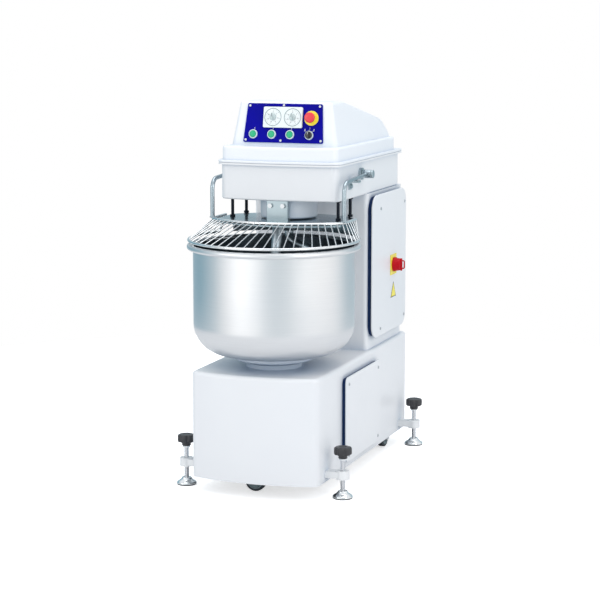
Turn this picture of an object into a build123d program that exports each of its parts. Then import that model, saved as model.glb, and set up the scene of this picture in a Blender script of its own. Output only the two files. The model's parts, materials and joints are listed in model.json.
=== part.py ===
from build123d import *
import math
import os

os.makedirs("parts", exist_ok=True)

# Floor-standing spiral dough mixer. Millimetres, +Z up, operator side towards -Y.
# Every part is drawn about the bowl axis, then moved by PLAN_SHIFT so that the
# machine stands centred on the origin.
PLAN_SHIFT = -291.5

SHEET = 3.0            # folded sheet thickness
BASE_HALF = 250.0
BASE_FRONT, BASE_BOW, BASE_REAR = -214.0, 38.0, 905.0
BASE_LOW, BASE_TOP = 58.0, 458.0

COLUMN_HALF = 234.0
COLUMN_FRONT, COLUMN_REAR = 410.0, 868.0

HEAD_HALF = 234.0
HEAD_FRONT, HEAD_BOW, HEAD_REAR = 49.0, 22.0, 826.0
HEAD_LOW, HEAD_SEAM = 1074.0, 1213.0
SKIRT_LOW, SKIRT_TOP = 1222.0, 1274.0
CROWN_LOW_HALF, CROWN_TOP_HALF = 212.0, 184.0
CROWN_FRONT, CROWN_TOP, CROWN_LEAN = 99.0, 1438.0, 10.0

BOWL_R, BOWL_T = 302.0, 3.0
BOWL_LOW, BOWL_CORNER = 508.0, 115.0
RIM_R, RIM_BEAD, RIM_Z = 314.0, 11.0, 910.0

SPIRAL_Y = 165.0       # spiral axis behind the bowl axis
SPIRAL_R, SPIRAL_ROD = 104.0, 17.0
LID_Z, LID_T = 998.0, 2.0
GUARD_Z, RING_Z, RING_R = 1000.0, 935.0, 318.0
ARM_X, ARM_Y, ARM_R = 262.0, 38.0, 8.0
PIVOT_Y, PIVOT_Z = 315.0, 1160.0
FOOT_X, FOOT_YS = 312.0, (-116.0, 810.0)
WHEEL_R, WHEEL_Z = 40.0, 44.0
RUN = 0.05             # radial running clearance


# ---------------------------------------------------------------- helpers
def save(name, shape):
    export_step(Location((0, PLAN_SHIFT, 0)) * shape, f"parts/{name}.step")


def block(x0, x1, y0, y1, z0, z1):
    box = Box(x1 - x0, y1 - y0, z1 - z0)
    return Pos((x0 + x1) / 2, (y0 + y1) / 2, (z0 + z1) / 2) * box


def disc(r, z0, z1, x=0.0, y=0.0):
    return Pos(x, y, (z0 + z1) / 2) * Cylinder(r, z1 - z0)


def ring(r_out, r_in, z0, z1, x=0.0, y=0.0):
    return disc(r_out, z0, z1, x, y) - disc(r_in, z0 - 1, z1 + 1, x, y)


def rod_x(r, x0, x1, y, z):
    return Pos((x0 + x1) / 2, y, z) * Rot(0, 90, 0) * Cylinder(r, abs(x1 - x0))


def rod_y(r, x, y0, y1, z):
    return Pos(x, (y0 + y1) / 2, z) * Rot(90, 0, 0) * Cylinder(r, abs(y1 - y0))


def group(parts):
    return Compound([s for p in parts for s in p.solids()])


def mirrored(part):
    return mirror(part, about=Plane.YZ)


def tube(path, r):
    start = Plane(path @ 0, z_dir=path % 0)
    return sweep(start * Circle(r), path=path)


def rod_between(a, b, r):
    a, b = Vector(*a), Vector(*b)
    plane = Plane(a, z_dir=b - a)
    return extrude(plane * Circle(r), (b - a).length)


def bowed_outline(half, front, bow, rear, r_front, r_rear):
    arc = ThreePointArc((-half, front), (0, front - bow), (half, front))
    sides = Polyline((half, front), (half, rear), (-half, rear), (-half, front))
    face = make_face(Curve() + [arc, sides])
    corners = face.vertices().sort_by(Axis.Y)
    face = fillet(corners[:2], r_front)
    return fillet(face.vertices().sort_by(Axis.Y)[-2:], r_rear)


def rounded_plate(x0, x1, y0, y1, z0, z1, r):
    face = Plane.YZ * RectangleRounded(y1 - y0, z1 - z0, r)
    plate = extrude(face, x1 - x0)
    return Pos(x0, (y0 + y1) / 2, (z0 + z1) / 2) * plate


def top_edges(part):
    return part.faces().sort_by(Axis.Z)[-1].edges()


# ---------------------------------------------------------------- base
def base_shell(inset):
    outline = bowed_outline(BASE_HALF - inset, BASE_FRONT + inset, BASE_BOW,
                            BASE_REAR - inset, 32 - inset, 22 - inset)
    body = Pos(0, 0, BASE_LOW) * extrude(outline, BASE_TOP - BASE_LOW - inset)
    return fillet(top_edges(body), 14 - inset)


DOOR_Y, DOOR_Z = (55.0, 484.0), (88.0, 414.0)


def base_housing():
    body = base_shell(0) - base_shell(SHEET)
    body -= disc(60, 440, 470)
    body -= block(-180, 180, 470, 830, 440, 470)
    window = block(200, 300, DOOR_Y[0] + 40, DOOR_Y[1] - 40, DOOR_Z[0] + 40, DOOR_Z[1] - 40)
    body -= window
    body -= mirrored(window)
    body -= block(-170, 170, 880, 920, 120, 400)
    return body


def base_frame():
    inner = BASE_HALF - SHEET
    rails = [block(x0, x1, -150, 880, 104, 144)
             for x0, x1 in ((-inner, -inner + 40), (inner - 40, inner))]
    ties = [block(-inner, inner, y - 30, y + 30, 104, 144) for y in (-120, 300, 720)]
    return Part() + rails + ties


def base_door():
    y0, y1 = DOOR_Y
    z0, z1 = DOOR_Z
    plate = rounded_plate(264, 270, y0, y1, z0, z1, 22)
    plate = fillet(plate.faces().sort_by(Axis.X)[-1].edges(), 3)
    for y, z in DOOR_SCREWS:
        plate -= rod_x(3, 260, 280, y, z)
    return plate


DOOR_SCREWS = [(83, 387), (447, 387), (83, 112), (447, 112)]


def door_gasket():
    y0, y1 = DOOR_Y
    z0, z1 = DOOR_Z
    outer = rounded_plate(BASE_HALF, 264, y0 + 6, y1 - 6, z0 + 6, z1 - 6, 18)
    return outer - rounded_plate(BASE_HALF - 1, 265, y0 + 22, y1 - 22, z0 + 16, z1 - 16, 8)


def pan_screw(x, y, z, length=6.0):
    head = rod_x(6, x, x + 2.6, y, z)
    head = fillet(head.faces().sort_by(Axis.X)[-1].edges(), 1.2)
    slot = Pos(x + 2.6, y, z) * Box(2.0, 1.6, 8.0)
    cross = Pos(x + 2.6, y, z) * Box(2.0, 8.0, 1.6)
    return head - slot - cross + rod_x(3, x - length, x, y, z)


def rear_cover(y, half, z0, z1):
    plate = block(-half, half, y, y + SHEET, z0, z1)
    slots = [block(-half + 60, half - 60, y - 1, y + 4, z, z + 7)
             for z in range(int(z0) + 50, int(z1) - 50, 22)]
    return plate - slots


def louvre_cover():
    z0, z1 = 520.0, 1040.0
    plate = block(-COLUMN_HALF - SHEET, -COLUMN_HALF, 440, 840, z0, z1)
    for i in range(9):
        z = z0 + 60 + i * 28
        plate -= block(-COLUMN_HALF - 9, -COLUMN_HALF + 1, 520, 760, z, z + 9)
        hood = block(-COLUMN_HALF - 12, -COLUMN_HALF - SHEET, 515, 765, z + 9, z + 16)
        edge = hood.edges().filter_by(Axis.Y).sort_by(Axis.Z)[-2:].sort_by(Axis.X)[0]
        plate += chamfer(edge, 5)
    return plate


# ---------------------------------------------------------------- feet, casters
def foot_arm(y):
    arm = block(BASE_HALF, FOOT_X, y - 22, y + 22, 76, 100)
    boss = disc(25, 72, 104, FOOT_X, y)
    return arm + boss - disc(9 + RUN, 60, 120, FOOT_X, y)


def foot_spindle(y):
    screw = disc(9, 27, 150, FOOT_X, y)
    ball = disc(13, 20, 27, FOOT_X, y)
    return screw + ball


def foot_knob(y):
    hub = disc(17, 148, 164, FOOT_X, y)
    body = disc(33, 164, 194, FOOT_X, y)
    lobes = [Pos(FOOT_X, y, 0) * Rot(0, 0, 60 * i) * Pos(37, 0, 179) * Cylinder(9.5, 32)
             for i in range(6)]
    knob = body - lobes
    knob = fillet(knob.faces().sort_by(Axis.Z)[-1].edges(), 3)
    return knob + hub - disc(9, 140, 150, FOOT_X, y)


def foot_pad(y):
    rim = disc(38, 0, 8, FOOT_X, y)
    dome = Pos(FOOT_X, y, 18) * Cone(36, 20, 20)
    pocket = disc(13 + RUN, 19.9, 40, FOOT_X, y)
    return rim + dome - pocket


def wheel(x, y, along_y):
    body = Cylinder(WHEEL_R, 28)
    body = fillet(body.edges().filter_by(GeomType.CIRCLE), 5)
    body -= Cylinder(6 + RUN, 40)
    body -= [Pos(0, 0, s * 14) * (Cylinder(26, 5) - Cylinder(11, 6)) for s in (-1, 1)]
    turn = Rot(90, 0, 0) if along_y else Rot(0, 90, 0)
    return Pos(x, y, WHEEL_Z) * turn * body


def front_mount():
    x, y = 0.0, -137.0
    plate = block(x - 45, x + 45, y - 35, y + 35, 99, 104)
    pin = disc(7, 87, 99, x, y)
    head = disc(11, 85.2, 87.6, x, y)
    return plate + pin + head


def front_fork():
    x, y = 0.0, -137.0
    crown = block(x - 44, x + 24, y - 24, y + 24, 88, 97)
    crown = crown - disc(7 + RUN, 80, 100, x, y)
    cheeks = [block(x - 40, x - 4, y + a, y + b, 34, 88) for a, b in ((-24, -18), (18, 24))]
    web = block(x - 4, x + 24, y - 24, y + 24, 85.5, 88) - disc(13, 80, 90, x, y)
    axle = rod_y(6, x - 22, y - 26, y + 26, WHEEL_Z)
    return crown + cheeks + web + axle


def rear_forks():
    forks = []
    for x in (-205.0, 205.0):
        y = 720.0
        top = block(x - 24, x + 24, y - 35, y + 35, 96, 104)
        cheeks = [block(x + a, x + b, y - 18, y + 18, 34, 96) for a, b in ((-24, -18), (18, 24))]
        axle = rod_x(6, x - 26, x + 26, y, WHEEL_Z)
        forks.append(top + cheeks + axle)
    return group(forks)


# ---------------------------------------------------------------- column, head
def column_housing():
    outer = bowed_outline(COLUMN_HALF, COLUMN_FRONT, 0.5, COLUMN_REAR, 16, 16)
    inner = bowed_outline(COLUMN_HALF - SHEET, COLUMN_FRONT + SHEET, 0.5,
                          COLUMN_REAR - SHEET, 13, 13)
    tall = HEAD_LOW - BASE_TOP
    body = Pos(0, 0, BASE_TOP) * (extrude(outer, tall) - extrude(inner, tall))
    body -= block(200, 300, 470, 810, 560, 1010)
    body -= block(-300, -200, 480, 800, 560, 1000)
    body -= block(-150, 150, 850, 900, 560, 1000)
    cap = Pos(0, 0, HEAD_LOW - SHEET) * extrude(inner, SHEET)
    return body + (cap - block(-180, 180, 450, 820, 1060, 1080))


CAB_Y, CAB_Z = (412.0, 862.0), (500.0, 1064.0)
CAB_SCREWS = [(515, 1007), (836, 1007), (515, 530), (836, 540)]
ISO_Y, ISO_Z = 684.0, 766.0


def cabinet_door():
    plate = rounded_plate(250, 256, *CAB_Y, *CAB_Z, 58)
    plate = fillet(plate.faces().sort_by(Axis.X)[-1].edges(), 3)
    for y, z in CAB_SCREWS:
        plate -= rod_x(3, 240, 260, y, z)
    return plate - rod_x(20, 240, 260, ISO_Y, ISO_Z)


def cabinet_gasket():
    (y0, y1), (z0, z1) = CAB_Y, CAB_Z
    outer = rounded_plate(COLUMN_HALF, 250, y0 + 7, y1 - 7, z0 + 7, z1 - 7, 52)
    return outer - rounded_plate(230, 251, y0 + 30, y1 - 30, z0 + 24, z1 - 24, 34)


def head_housing():
    tall = HEAD_SEAM - HEAD_LOW - 1
    outer = extrude(bowed_outline(HEAD_HALF, HEAD_FRONT, HEAD_BOW, HEAD_REAR, 30, 20), tall)
    outer = fillet(outer.faces().sort_by(Axis.Z)[0].edges(), 7)
    inner = bowed_outline(HEAD_HALF - 4, HEAD_FRONT + 4, HEAD_BOW, HEAD_REAR - 4, 26, 16)
    lip = bowed_outline(245, 38, HEAD_BOW, 846, 34, 24)
    body = outer + Pos(0, 0, tall - 7) * extrude(lip, 7)
    body -= Pos(0, 0, 6) * extrude(inner, tall)
    body = Pos(0, 0, HEAD_LOW) * body
    body -= disc(75, 1060, 1100, 0, SPIRAL_Y)
    return body - block(-180, 180, 450, 820, 1060, 1100)


def crown_body(inset):
    low = SKIRT_TOP - 12
    front = CROWN_FRONT - 2 + inset
    rear = 784 - inset
    face = RectangleRounded(2 * (CROWN_LOW_HALF + 2 - inset), rear - front, 26 - inset)
    body = Pos(0, (front + rear) / 2, low) * extrude(face, 200, taper=CROWN_LEAN)
    roof = make_face(Polyline(
        (0, low - 10), (0, CROWN_TOP - inset), (262, CROWN_TOP - inset), (690, 1352 - inset),
        (762 - inset, 1296 - inset), (776 - inset, low - 10), close=True))
    kinks = [v for v in roof.vertices() if 200 < v.X < 775 and v.Y > low]
    body = body & extrude(Plane.YZ * fillet(kinks, 40), 400, both=True)
    roof_edges = [e for f in body.faces() if f.normal_at(f.center()).Z > 0.35
                  for e in f.edges()]
    rim = [e for e in roof_edges
           if sum(1 for k in roof_edges if (k.center() - e.center()).length < 0.01) == 1]
    return fillet(rim, 12 - inset)


def skirt_body(inset):
    outline = bowed_outline(231 - inset, HEAD_FRONT + inset, HEAD_BOW, 781 - inset,
                            30 - inset, 22 - inset)
    body = extrude(outline, SKIRT_TOP - HEAD_SEAM - inset)
    return Pos(0, 0, HEAD_SEAM) * fillet(top_edges(body), 9 - inset)


def head_cover():
    lip = bowed_outline(245, 38, HEAD_BOW, 846, 34, 24)
    body = Pos(0, 0, HEAD_SEAM) * extrude(lip, 9)
    body = body + skirt_body(0) + crown_body(0)
    body -= skirt_body(4)
    body -= crown_body(4)
    body -= Pos(0, 0, HEAD_SEAM - 2) * block(-215, 215, 70, 770, 0, 20)
    return body - on_panel(Box(280, 120, 60))


# ---------------------------------------------------------------- control panel
PANEL_Z = 1361.0
PANEL_Y = CROWN_FRONT + (PANEL_Z - SKIRT_TOP) * math.tan(math.radians(CROWN_LEAN))
LEAN = math.radians(CROWN_LEAN)
PANEL = Plane((0, PANEL_Y, PANEL_Z), x_dir=(1, 0, 0),
              z_dir=(0, -math.cos(LEAN), math.sin(LEAN)))
PANEL_T = 4.0
DIALS = [(-43.0, 19.0), (35.0, 19.0)]
STARTS = [(-121.0, -45.0), (-47.0, -45.0), (26.0, -45.0)]
STOP, SELECT = (108.0, 18.0), (102.0, -46.0)
PANEL_SCREWS = [(-139, 62), (-4, 65), (139, 62), (-150, -67), (-10, -68), (149, -67)]


def on_panel(shape):
    return PANEL.location * shape


def peg(r, z0, z1, at=(0.0, 0.0)):
    return Pos(at[0], at[1], (z0 + z1) / 2) * Cylinder(r, z1 - z0)


def control_panel():
    face = make_face(Polyline((-160, -76), (158, -76), (148, 71), (-148, 71), close=True))
    plate = extrude(fillet(face.vertices(), 6), PANEL_T)
    plate -= [peg(13.2, -1, 9, c) for c in STARTS]
    plate -= [peg(2, -1, 9, c) for c in PANEL_SCREWS]
    plate -= [peg(14, -1, 9, STOP), peg(12, -1, 9, SELECT)]
    plate -= Pos(-4, 19, 0) * Box(140, 60, 20)
    return on_panel(plate)


def panel_screws():
    screws = []
    for c in PANEL_SCREWS:
        head = peg(4.5, PANEL_T, PANEL_T + 2.2, c)
        head = fillet(head.faces().sort_by(Axis.Z)[-1].edges(), 1)
        cross = Pos(c[0], c[1], PANEL_T + 2.2)
        head -= [cross * Box(6, 1.2, 1.6), cross * Box(1.2, 6, 1.6)]
        screws.append(on_panel(head + peg(2, 0, PANEL_T, c)))
    return group(screws)


def timer_module():
    body = extrude(RectangleRounded(155, 78, 5), 8)
    body = fillet(body.faces().sort_by(Axis.Z)[-1].edges(), 1.5)
    body = Pos(-4, 19, PANEL_T) * body + Pos(-4, 19, -12) * Box(136, 56, 32)
    for c in DIALS:
        body = body - peg(32.5, 10.5, 20, c) - peg(3 + RUN, -40, 20, c)
    return on_panel(body)


def timer_dial(c):
    return on_panel(peg(32, 10.5, 12, c) - peg(3.6, 5, 20, c))


def timer_knob(c):
    grip = peg(13, 12.8, 20, c)
    wing = Pos(c[0], c[1] + 2, 24) * Box(6, 26, 9)
    wing = fillet(wing.edges().filter_by(Axis.Z), 2)
    return on_panel(grip + wing + peg(3, -20, 13, c))


def start_bezels():
    rings = []
    for c in STARTS:
        bezel = peg(17.5, PANEL_T, 10, c)
        bezel = chamfer(bezel.faces().sort_by(Axis.Z)[-1].edges(), 2) - peg(13.2, 0, 20, c)
        rings.append(on_panel(bezel))
    return group(rings)


def start_cap(c):
    cap = peg(12.7, 1, 11.5, c)
    cap = fillet(cap.faces().sort_by(Axis.Z)[-1].edges(), 1.5)
    return on_panel(cap + peg(5, -22, 1, c))


def stop_base():
    plate = peg(28, PANEL_T, 7, STOP) + peg(15, 7, 15, STOP) + peg(13.8, -24, 7, STOP)
    return on_panel(plate - peg(9 + RUN, -30, 20, STOP))


def stop_button():
    head = peg(20, 21, 35, STOP)
    head = fillet(head.faces().sort_by(Axis.Z)[-1].edges(), 5)
    return on_panel(head + peg(9, -20, 21, STOP))


def selector_ring():
    base = peg(17, PANEL_T, 8, SELECT) + peg(11.8, -20, 8, SELECT)
    return on_panel(base - peg(8 + RUN, -30, 20, SELECT))


def selector_knob():
    grip = peg(13.5, 8.6, 15, SELECT)
    bar = Pos(SELECT[0], SELECT[1], 19) * Box(8, 26, 12)
    bar = fillet(bar.edges().filter_by(Axis.Z), 2)
    return on_panel(grip + bar + peg(8, -18, 9, SELECT))


# ---------------------------------------------------------------- isolator
def isolator_plate():
    plate = rounded_plate(256, 258, ISO_Y - 41, ISO_Y + 41, ISO_Z - 41, ISO_Z + 41, 5)
    neck = rod_x(20, 240, 256, ISO_Y, ISO_Z) + plate
    return neck - rod_x(7 + RUN, 230, 270, ISO_Y, ISO_Z)


def isolator_handle():
    collar = rod_x(29, 258.8, 272, ISO_Y, ISO_Z)
    collar = fillet(collar.faces().sort_by(Axis.X)[-1].edges(), 3)
    grip = Pos(288, ISO_Y, ISO_Z) * Box(36, 16, 56)
    grip = fillet(grip.edges().filter_by(Axis.X), 5)
    return collar + grip + rod_x(7, 236, 259, ISO_Y, ISO_Z)


def side_label():
    tri = Plane.YZ * Triangle(a=72, b=72, c=72)
    plate = extrude(tri, 1)
    return Pos(256, ISO_Y + 4, 654) * plate


# ---------------------------------------------------------------- bowl
def bowl():
    inner, low = BOWL_R - BOWL_T, BOWL_LOW
    centre = BOWL_R - BOWL_CORNER
    h = low + BOWL_CORNER
    k = math.sqrt(0.5)
    out_mid = (centre + BOWL_CORNER * k, h - BOWL_CORNER * k)
    rr = BOWL_CORNER - BOWL_T
    in_mid = (centre + rr * k, h - rr * k)
    lines = [
        Line((0, low), (centre, low)),
        ThreePointArc((centre, low), out_mid, (BOWL_R, h)),
        Line((BOWL_R, h), (BOWL_R, RIM_Z)),
        Line((BOWL_R, RIM_Z), (RIM_R, RIM_Z + 5)),
        Line((RIM_R, RIM_Z + 5), (RIM_R, RIM_Z + 8)),
        Line((RIM_R, RIM_Z + 8), (inner, RIM_Z + 2)),
        Line((inner, RIM_Z + 2), (inner, h)),
        ThreePointArc((inner, h), in_mid, (centre, low + BOWL_T)),
        Line((centre, low + BOWL_T), (0, low + BOWL_T)),
        Line((0, low + BOWL_T), (0, low)),
    ]
    shell = revolve(Plane.XZ * make_face(Curve() + lines), Axis.Z)
    return shell + Pos(0, 0, RIM_Z) * Torus(RIM_R, RIM_BEAD)


def bowl_flange():
    body = disc(150, 486, BOWL_LOW)
    return chamfer(body.faces().sort_by(Axis.Z)[0].edges(), 4)


def bowl_shaft():
    return disc(35, 184, 486)


def collar():
    body = disc(106, BASE_TOP, 474) + disc(98, 474, 483)
    body = chamfer(body.faces().sort_by(Axis.Z)[-1].edges(), 2)
    return body - disc(36, 440, 490)


def bearing_tube():
    tube_part = ring(60, 48, 262, BASE_TOP)
    web = block(-247, 247, -30, 30, 262, 272) - disc(59, 250, 280)
    return tube_part + web - disc(48, 250, 470)


def bearings(z_list, r_out, r_in, y=0.0):
    rings = []
    for z in z_list:
        body = ring(r_out, r_in + RUN, z, z + 24, 0, y)
        rings.append(body)
    return group(rings)


def pulley(r, bore, z0, z1, y):
    body = disc(r, z0, z1, 0, y)
    grooves = [ring(r + 5, r - 3, z0 + 6 + 9 * i, z0 + 10 + 9 * i, 0, y)
               for i in range(int((z1 - z0 - 8) // 9))]
    body -= grooves
    if r > 90:
        holes = [Pos(0, y, 0) * Rot(0, 0, 60 * i) * disc(r * 0.2, z0 - 1, z1 + 1, r * 0.62, 0)
                 for i in range(6)]
        body -= holes
    return body - disc(bore, z0 - 1, z1 + 1, 0, y)


def belt(r1, y1, r2, y2, z0, z1):
    def loop(grow):
        a, b = r1 + grow, r2 + grow
        span = y2 - y1
        lean = math.asin((a - b) / span)
        c, s = math.cos(lean), math.sin(lean)
        p = [(a * c, y1 + a * s), (b * c, y2 + b * s)]
        q = [(-x, y) for x, y in p]
        path = [Line(p[0], p[1]), ThreePointArc(p[1], (0, y2 + b), q[1]),
                Line(q[1], q[0]), ThreePointArc(q[0], (0, y1 - a), p[0])]
        return extrude(make_face(Curve() + path), z1 - z0)
    return Pos(0, 0, z0) * (loop(7.0) - loop(0.4))


BOWL_MOTOR_Y, SPIRAL_MOTOR_Y = 420.0, 620.0


def bowl_motor():
    y = BOWL_MOTOR_Y
    body = disc(82, 252, 420, 0, y)
    fins = [Pos(0, y, 336) * Rot(0, 0, 15 * i) * Pos(84, 0, 0) * Box(12, 3, 130)
            for i in range(24)]
    box = block(-45, 45, y + 80, y + 120, 290, 380)
    return body + fins + box + disc(14, 248, 252, 0, y) - disc(12 + RUN, 240, 300, 0, y)


def bowl_motor_plate():
    y = BOWL_MOTOR_Y
    return block(-247, 247, y - 110, y + 130, 240, 248) - disc(30, 230, 260, 0, y)


def spiral_motor():
    y = SPIRAL_MOTOR_Y
    body = disc(98, 780, 1070, 0, y)
    fins = [Pos(0, y, 920) * Rot(0, 0, 12 * i) * Pos(101, 0, 0) * Box(14, 3, 230)
            for i in range(30)]
    flange = disc(115, 1070, 1080, 0, y)
    cap = disc(92, 756, 780, 0, y)
    return body + fins + flange + cap - disc(16 + RUN, 1000, 1090, 0, y)


def spiral_motor_plate():
    y = SPIRAL_MOTOR_Y
    return block(-205, 205, 440, 815, 1080, 1088) - disc(30, 1070, 1100, 0, y)


def stub_shaft(r, z0, z1, y):
    return disc(r, z0, z1, 0, y)


# ---------------------------------------------------------------- spiral, breaker
def spiral_path():
    points = [(0, SPIRAL_Y, 980), (0, SPIRAL_Y, 958)]
    steps = 26
    for i in range(1, steps + 1):
        t = i / steps
        z = 946 - t * 408
        grow = min(1.0, t / 0.26)
        curl = max(0.0, (t - 0.78) / 0.22)
        r = SPIRAL_R * (0.5 - 0.5 * math.cos(grow * math.pi)) - 42 * curl ** 1.3
        a = math.radians(-70 + 450 * t)
        points.append((r * math.cos(a), SPIRAL_Y + r * math.sin(a), z))
    return Spline(*points)


def spiral_hook():
    hook = tube(spiral_path(), SPIRAL_ROD)
    hub = disc(40, 952, 1001, 0, SPIRAL_Y)
    hub = fillet(hub.faces().sort_by(Axis.Z)[0].edges(), 10)
    return hook + hub


def spiral_shaft():
    return disc(25, 1001, 1268, 0, SPIRAL_Y)


def spiral_housing():
    body = disc(108, 1004, HEAD_LOW, 0, SPIRAL_Y)
    body = fillet(body.faces().sort_by(Axis.Z)[0].edges(), 8)
    body = body + disc(75, HEAD_LOW, 1200, 0, SPIRAL_Y)
    return body - disc(40, 1000, 1210, 0, SPIRAL_Y) - disc(48, 1012, 1198, 0, SPIRAL_Y)


def breaker_bar():
    path = Spline((0, 44, 996), (0, 40, 965), (0, 21, 900), (0, 16, 850), (0, 16, 780),
                  tangents=[(0, 0, -1), (0, 0, -1)])
    low = disc(19, 534, 780, 0, 16)
    low = fillet(low.faces().sort_by(Axis.Z)[0].edges(), 8)
    return tube(path, 19) + low


def breaker_block():
    body = block(-42, 42, 32, 56, 996, HEAD_LOW)
    body = fillet(body.edges().filter_by(Axis.Z), 3)
    return body - [rod_y(6, x, 20, 60, 1056) for x in (-26, 24)]


def breaker_bolts():
    bolts = []
    for x in (-26, 24):
        head = Pos(x, 28, 1056) * Rot(90, 0, 0) * extrude(RegularPolygon(9.5, 6), 4, both=True)
        bolts.append(head + rod_y(6, x, 32, 54, 1056))
    return group(bolts)


# ---------------------------------------------------------------- lid
LID_HALF, LID_SAG = 246.0, 81.0
LID_RODS = [(212.0, 118.0), (212.0, 262.0)]


def lid_plate():
    front_y = -36.0
    arc = ThreePointArc((-LID_HALF, front_y + LID_SAG), (0, front_y), (LID_HALF, front_y + LID_SAG))
    sides = Polyline((LID_HALF, front_y + LID_SAG), (LID_HALF, 400), (-LID_HALF, 400),
                     (-LID_HALF, front_y + LID_SAG))
    sheet = make_face(Curve() + [arc, sides]) & Circle(324)
    plate = Pos(0, 0, LID_Z) * extrude(sheet, LID_T)
    lip = make_face(Curve() + [arc, sides]) - Pos(0, 1.8) * make_face(Curve() + [arc, sides])
    lip = Pos(0, 0, LID_Z - 14) * extrude(lip & Circle(324), 14)
    skirt = ring(324, 322, 932, LID_Z) & block(-LID_HALF, LID_HALF, 100, 400, 900, 1010)
    plate = plate + lip.solids().sort_by(Axis.Y)[0] + skirt
    plate -= block(-44, 44, 30, 74, 960, 1010)
    plate -= disc(52, 960, 1010, 0, SPIRAL_Y)
    holes = [disc(6, 990, 1010, s * x, y) for x, y in LID_RODS for s in (-1, 1)]
    return plate - holes


def lid_rods():
    rods = []
    for x, y in LID_RODS:
        for s in (-1, 1):
            rod = disc(6, LID_Z, HEAD_LOW, s * x, y)
            nut = disc(10, LID_Z + LID_T, LID_Z + LID_T + 8, s * x, y)
            foot = disc(11, HEAD_LOW - 6, HEAD_LOW, s * x, y)
            rods.append(rod + nut + foot)
    return group(rods)


# ---------------------------------------------------------------- wire guard
ROD_SAG, ROD_BACK, ROD_FRONT = 110.0, 175.0, -75.0
ROD_CORNER = ROD_FRONT + ROD_SAG


def upper_rod_wire():
    arc = ThreePointArc((-ARM_X, ROD_CORNER), (0, ROD_FRONT), (ARM_X, ROD_CORNER))
    left = Line((-ARM_X, ROD_BACK), (-ARM_X, ROD_CORNER))
    right = Line((ARM_X, ROD_CORNER), (ARM_X, ROD_BACK))
    wire = Wire([left.edge(), arc.edge(), right.edge()])
    corners = [v for v in wire.vertices() if abs(v.Y - ROD_CORNER) < 0.1]
    return wire.fillet_2d(40, corners)


def ring_end():
    back = 150.0
    return math.sqrt(RING_R ** 2 - back ** 2), back


def ring_wire():
    x, y = ring_end()
    return Wire([ThreePointArc((-x, y), (0, -RING_R), (x, y)).edge()])


def guard_cage():
    upper, lower = upper_rod_wire(), ring_wire()
    lift_up, lift_low = Vector(0, 0, GUARD_Z), Vector(0, 0, RING_Z)
    top_rod = Pos(0, 0, GUARD_Z) * tube(upper, 6)
    low_ring = Pos(0, 0, RING_Z) * tube(lower, 5)
    count = 36
    wires = []
    for i in range(count + 1):
        t = i / count
        r = 5.0 if i in (0, count) else 2.3
        wires.append(rod_between(tuple(lower @ t + lift_low), tuple(upper @ t + lift_up), r))
    ends = [Pos(p.X, p.Y, z) * Sphere(r) for w, z, r in ((upper, GUARD_Z, 6), (lower, RING_Z, 5))
            for p in (w @ 0, w @ 1)]
    return top_rod + low_ring + wires + ends


def guard_arm():
    slope = (PIVOT_Z - 1148) / (PIVOT_Y - ARM_Y)
    path = Wire([
        Line((ARM_X, ARM_Y, GUARD_Z), (ARM_X, ARM_Y, 1148)).edge(),
        Line((ARM_X, ARM_Y, 1148), (ARM_X, PIVOT_Y, 1148 + slope * (PIVOT_Y - ARM_Y))).edge(),
    ])
    bend = [v for v in path.vertices() if abs(v.Y - ARM_Y) < 0.1 and abs(v.Z - 1148) < 0.1]
    path = path.fillet_2d(26, bend)
    arm = tube(path, ARM_R)
    hub = rod_x(16, 250, 280, PIVOT_Y, PIVOT_Z)
    arm = arm + hub - rod_x(10 + RUN, 240, 300, PIVOT_Y, PIVOT_Z)
    return arm - Pos(0, 0, GUARD_Z) * tube(upper_rod_wire(), 6) - block(200, 300, 0, 80, 990, GUARD_Z)


def guard_pivot():
    base = rod_x(23, HEAD_HALF, 245, PIVOT_Y, PIVOT_Z)
    pin = rod_x(10, 245, 284, PIVOT_Y, PIVOT_Z)
    cap = rod_x(15.5, 281, 288, PIVOT_Y, PIVOT_Z)
    cap = fillet(cap.faces().sort_by(Axis.X)[-1].edges(), 3)
    return base + pin + cap


def guard_rest():
    foot = block(HEAD_HALF, HEAD_HALF + 6, 172, 200, 1112, 1146)
    shelf = block(HEAD_HALF + 6, 274, 172, 200, 1138, 1145)
    bolt = rod_x(7, HEAD_HALF + 6, HEAD_HALF + 12, 186, 1124)
    return foot + shelf + bolt


# ---------------------------------------------------------------- electrics
def wiring_plate():
    plate = block(196, 200, 480, 800, 570, 1000)
    gear = [block(150, 196, 500 + 62 * i, 548 + 62 * i, 820, 900) for i in range(4)]
    rail = block(188, 196, 490, 790, 700, 735)
    blocks = [block(160, 188, 500 + 24 * i, 522 + 24 * i, 695, 740) for i in range(11)]
    posts = [block(200, 231, y, y + 14, z, z + 14) for y in (450, 812) for z in (590, 960)]
    arms = [block(196, 200, 450, 826, z, z + 14) for z in (590, 960)]
    return Part() + plate + gear + rail + blocks + arms + posts


def cable_gland():
    y = COLUMN_REAR + SHEET
    nut = Pos(120, y + 6, 530) * Rot(90, 0, 0) * extrude(RegularPolygon(18, 6), 6, both=True)
    dome = rod_y(14, 120, y + 12, y + 28, 530)
    return nut + dome - rod_y(8, 120, y - 2, y + 40, 530)


# ---------------------------------------------------------------- build
SIDES = (("right", 1), ("left", -1))


def side_part(part, sign):
    return part if sign > 0 else mirrored(part)


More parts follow.
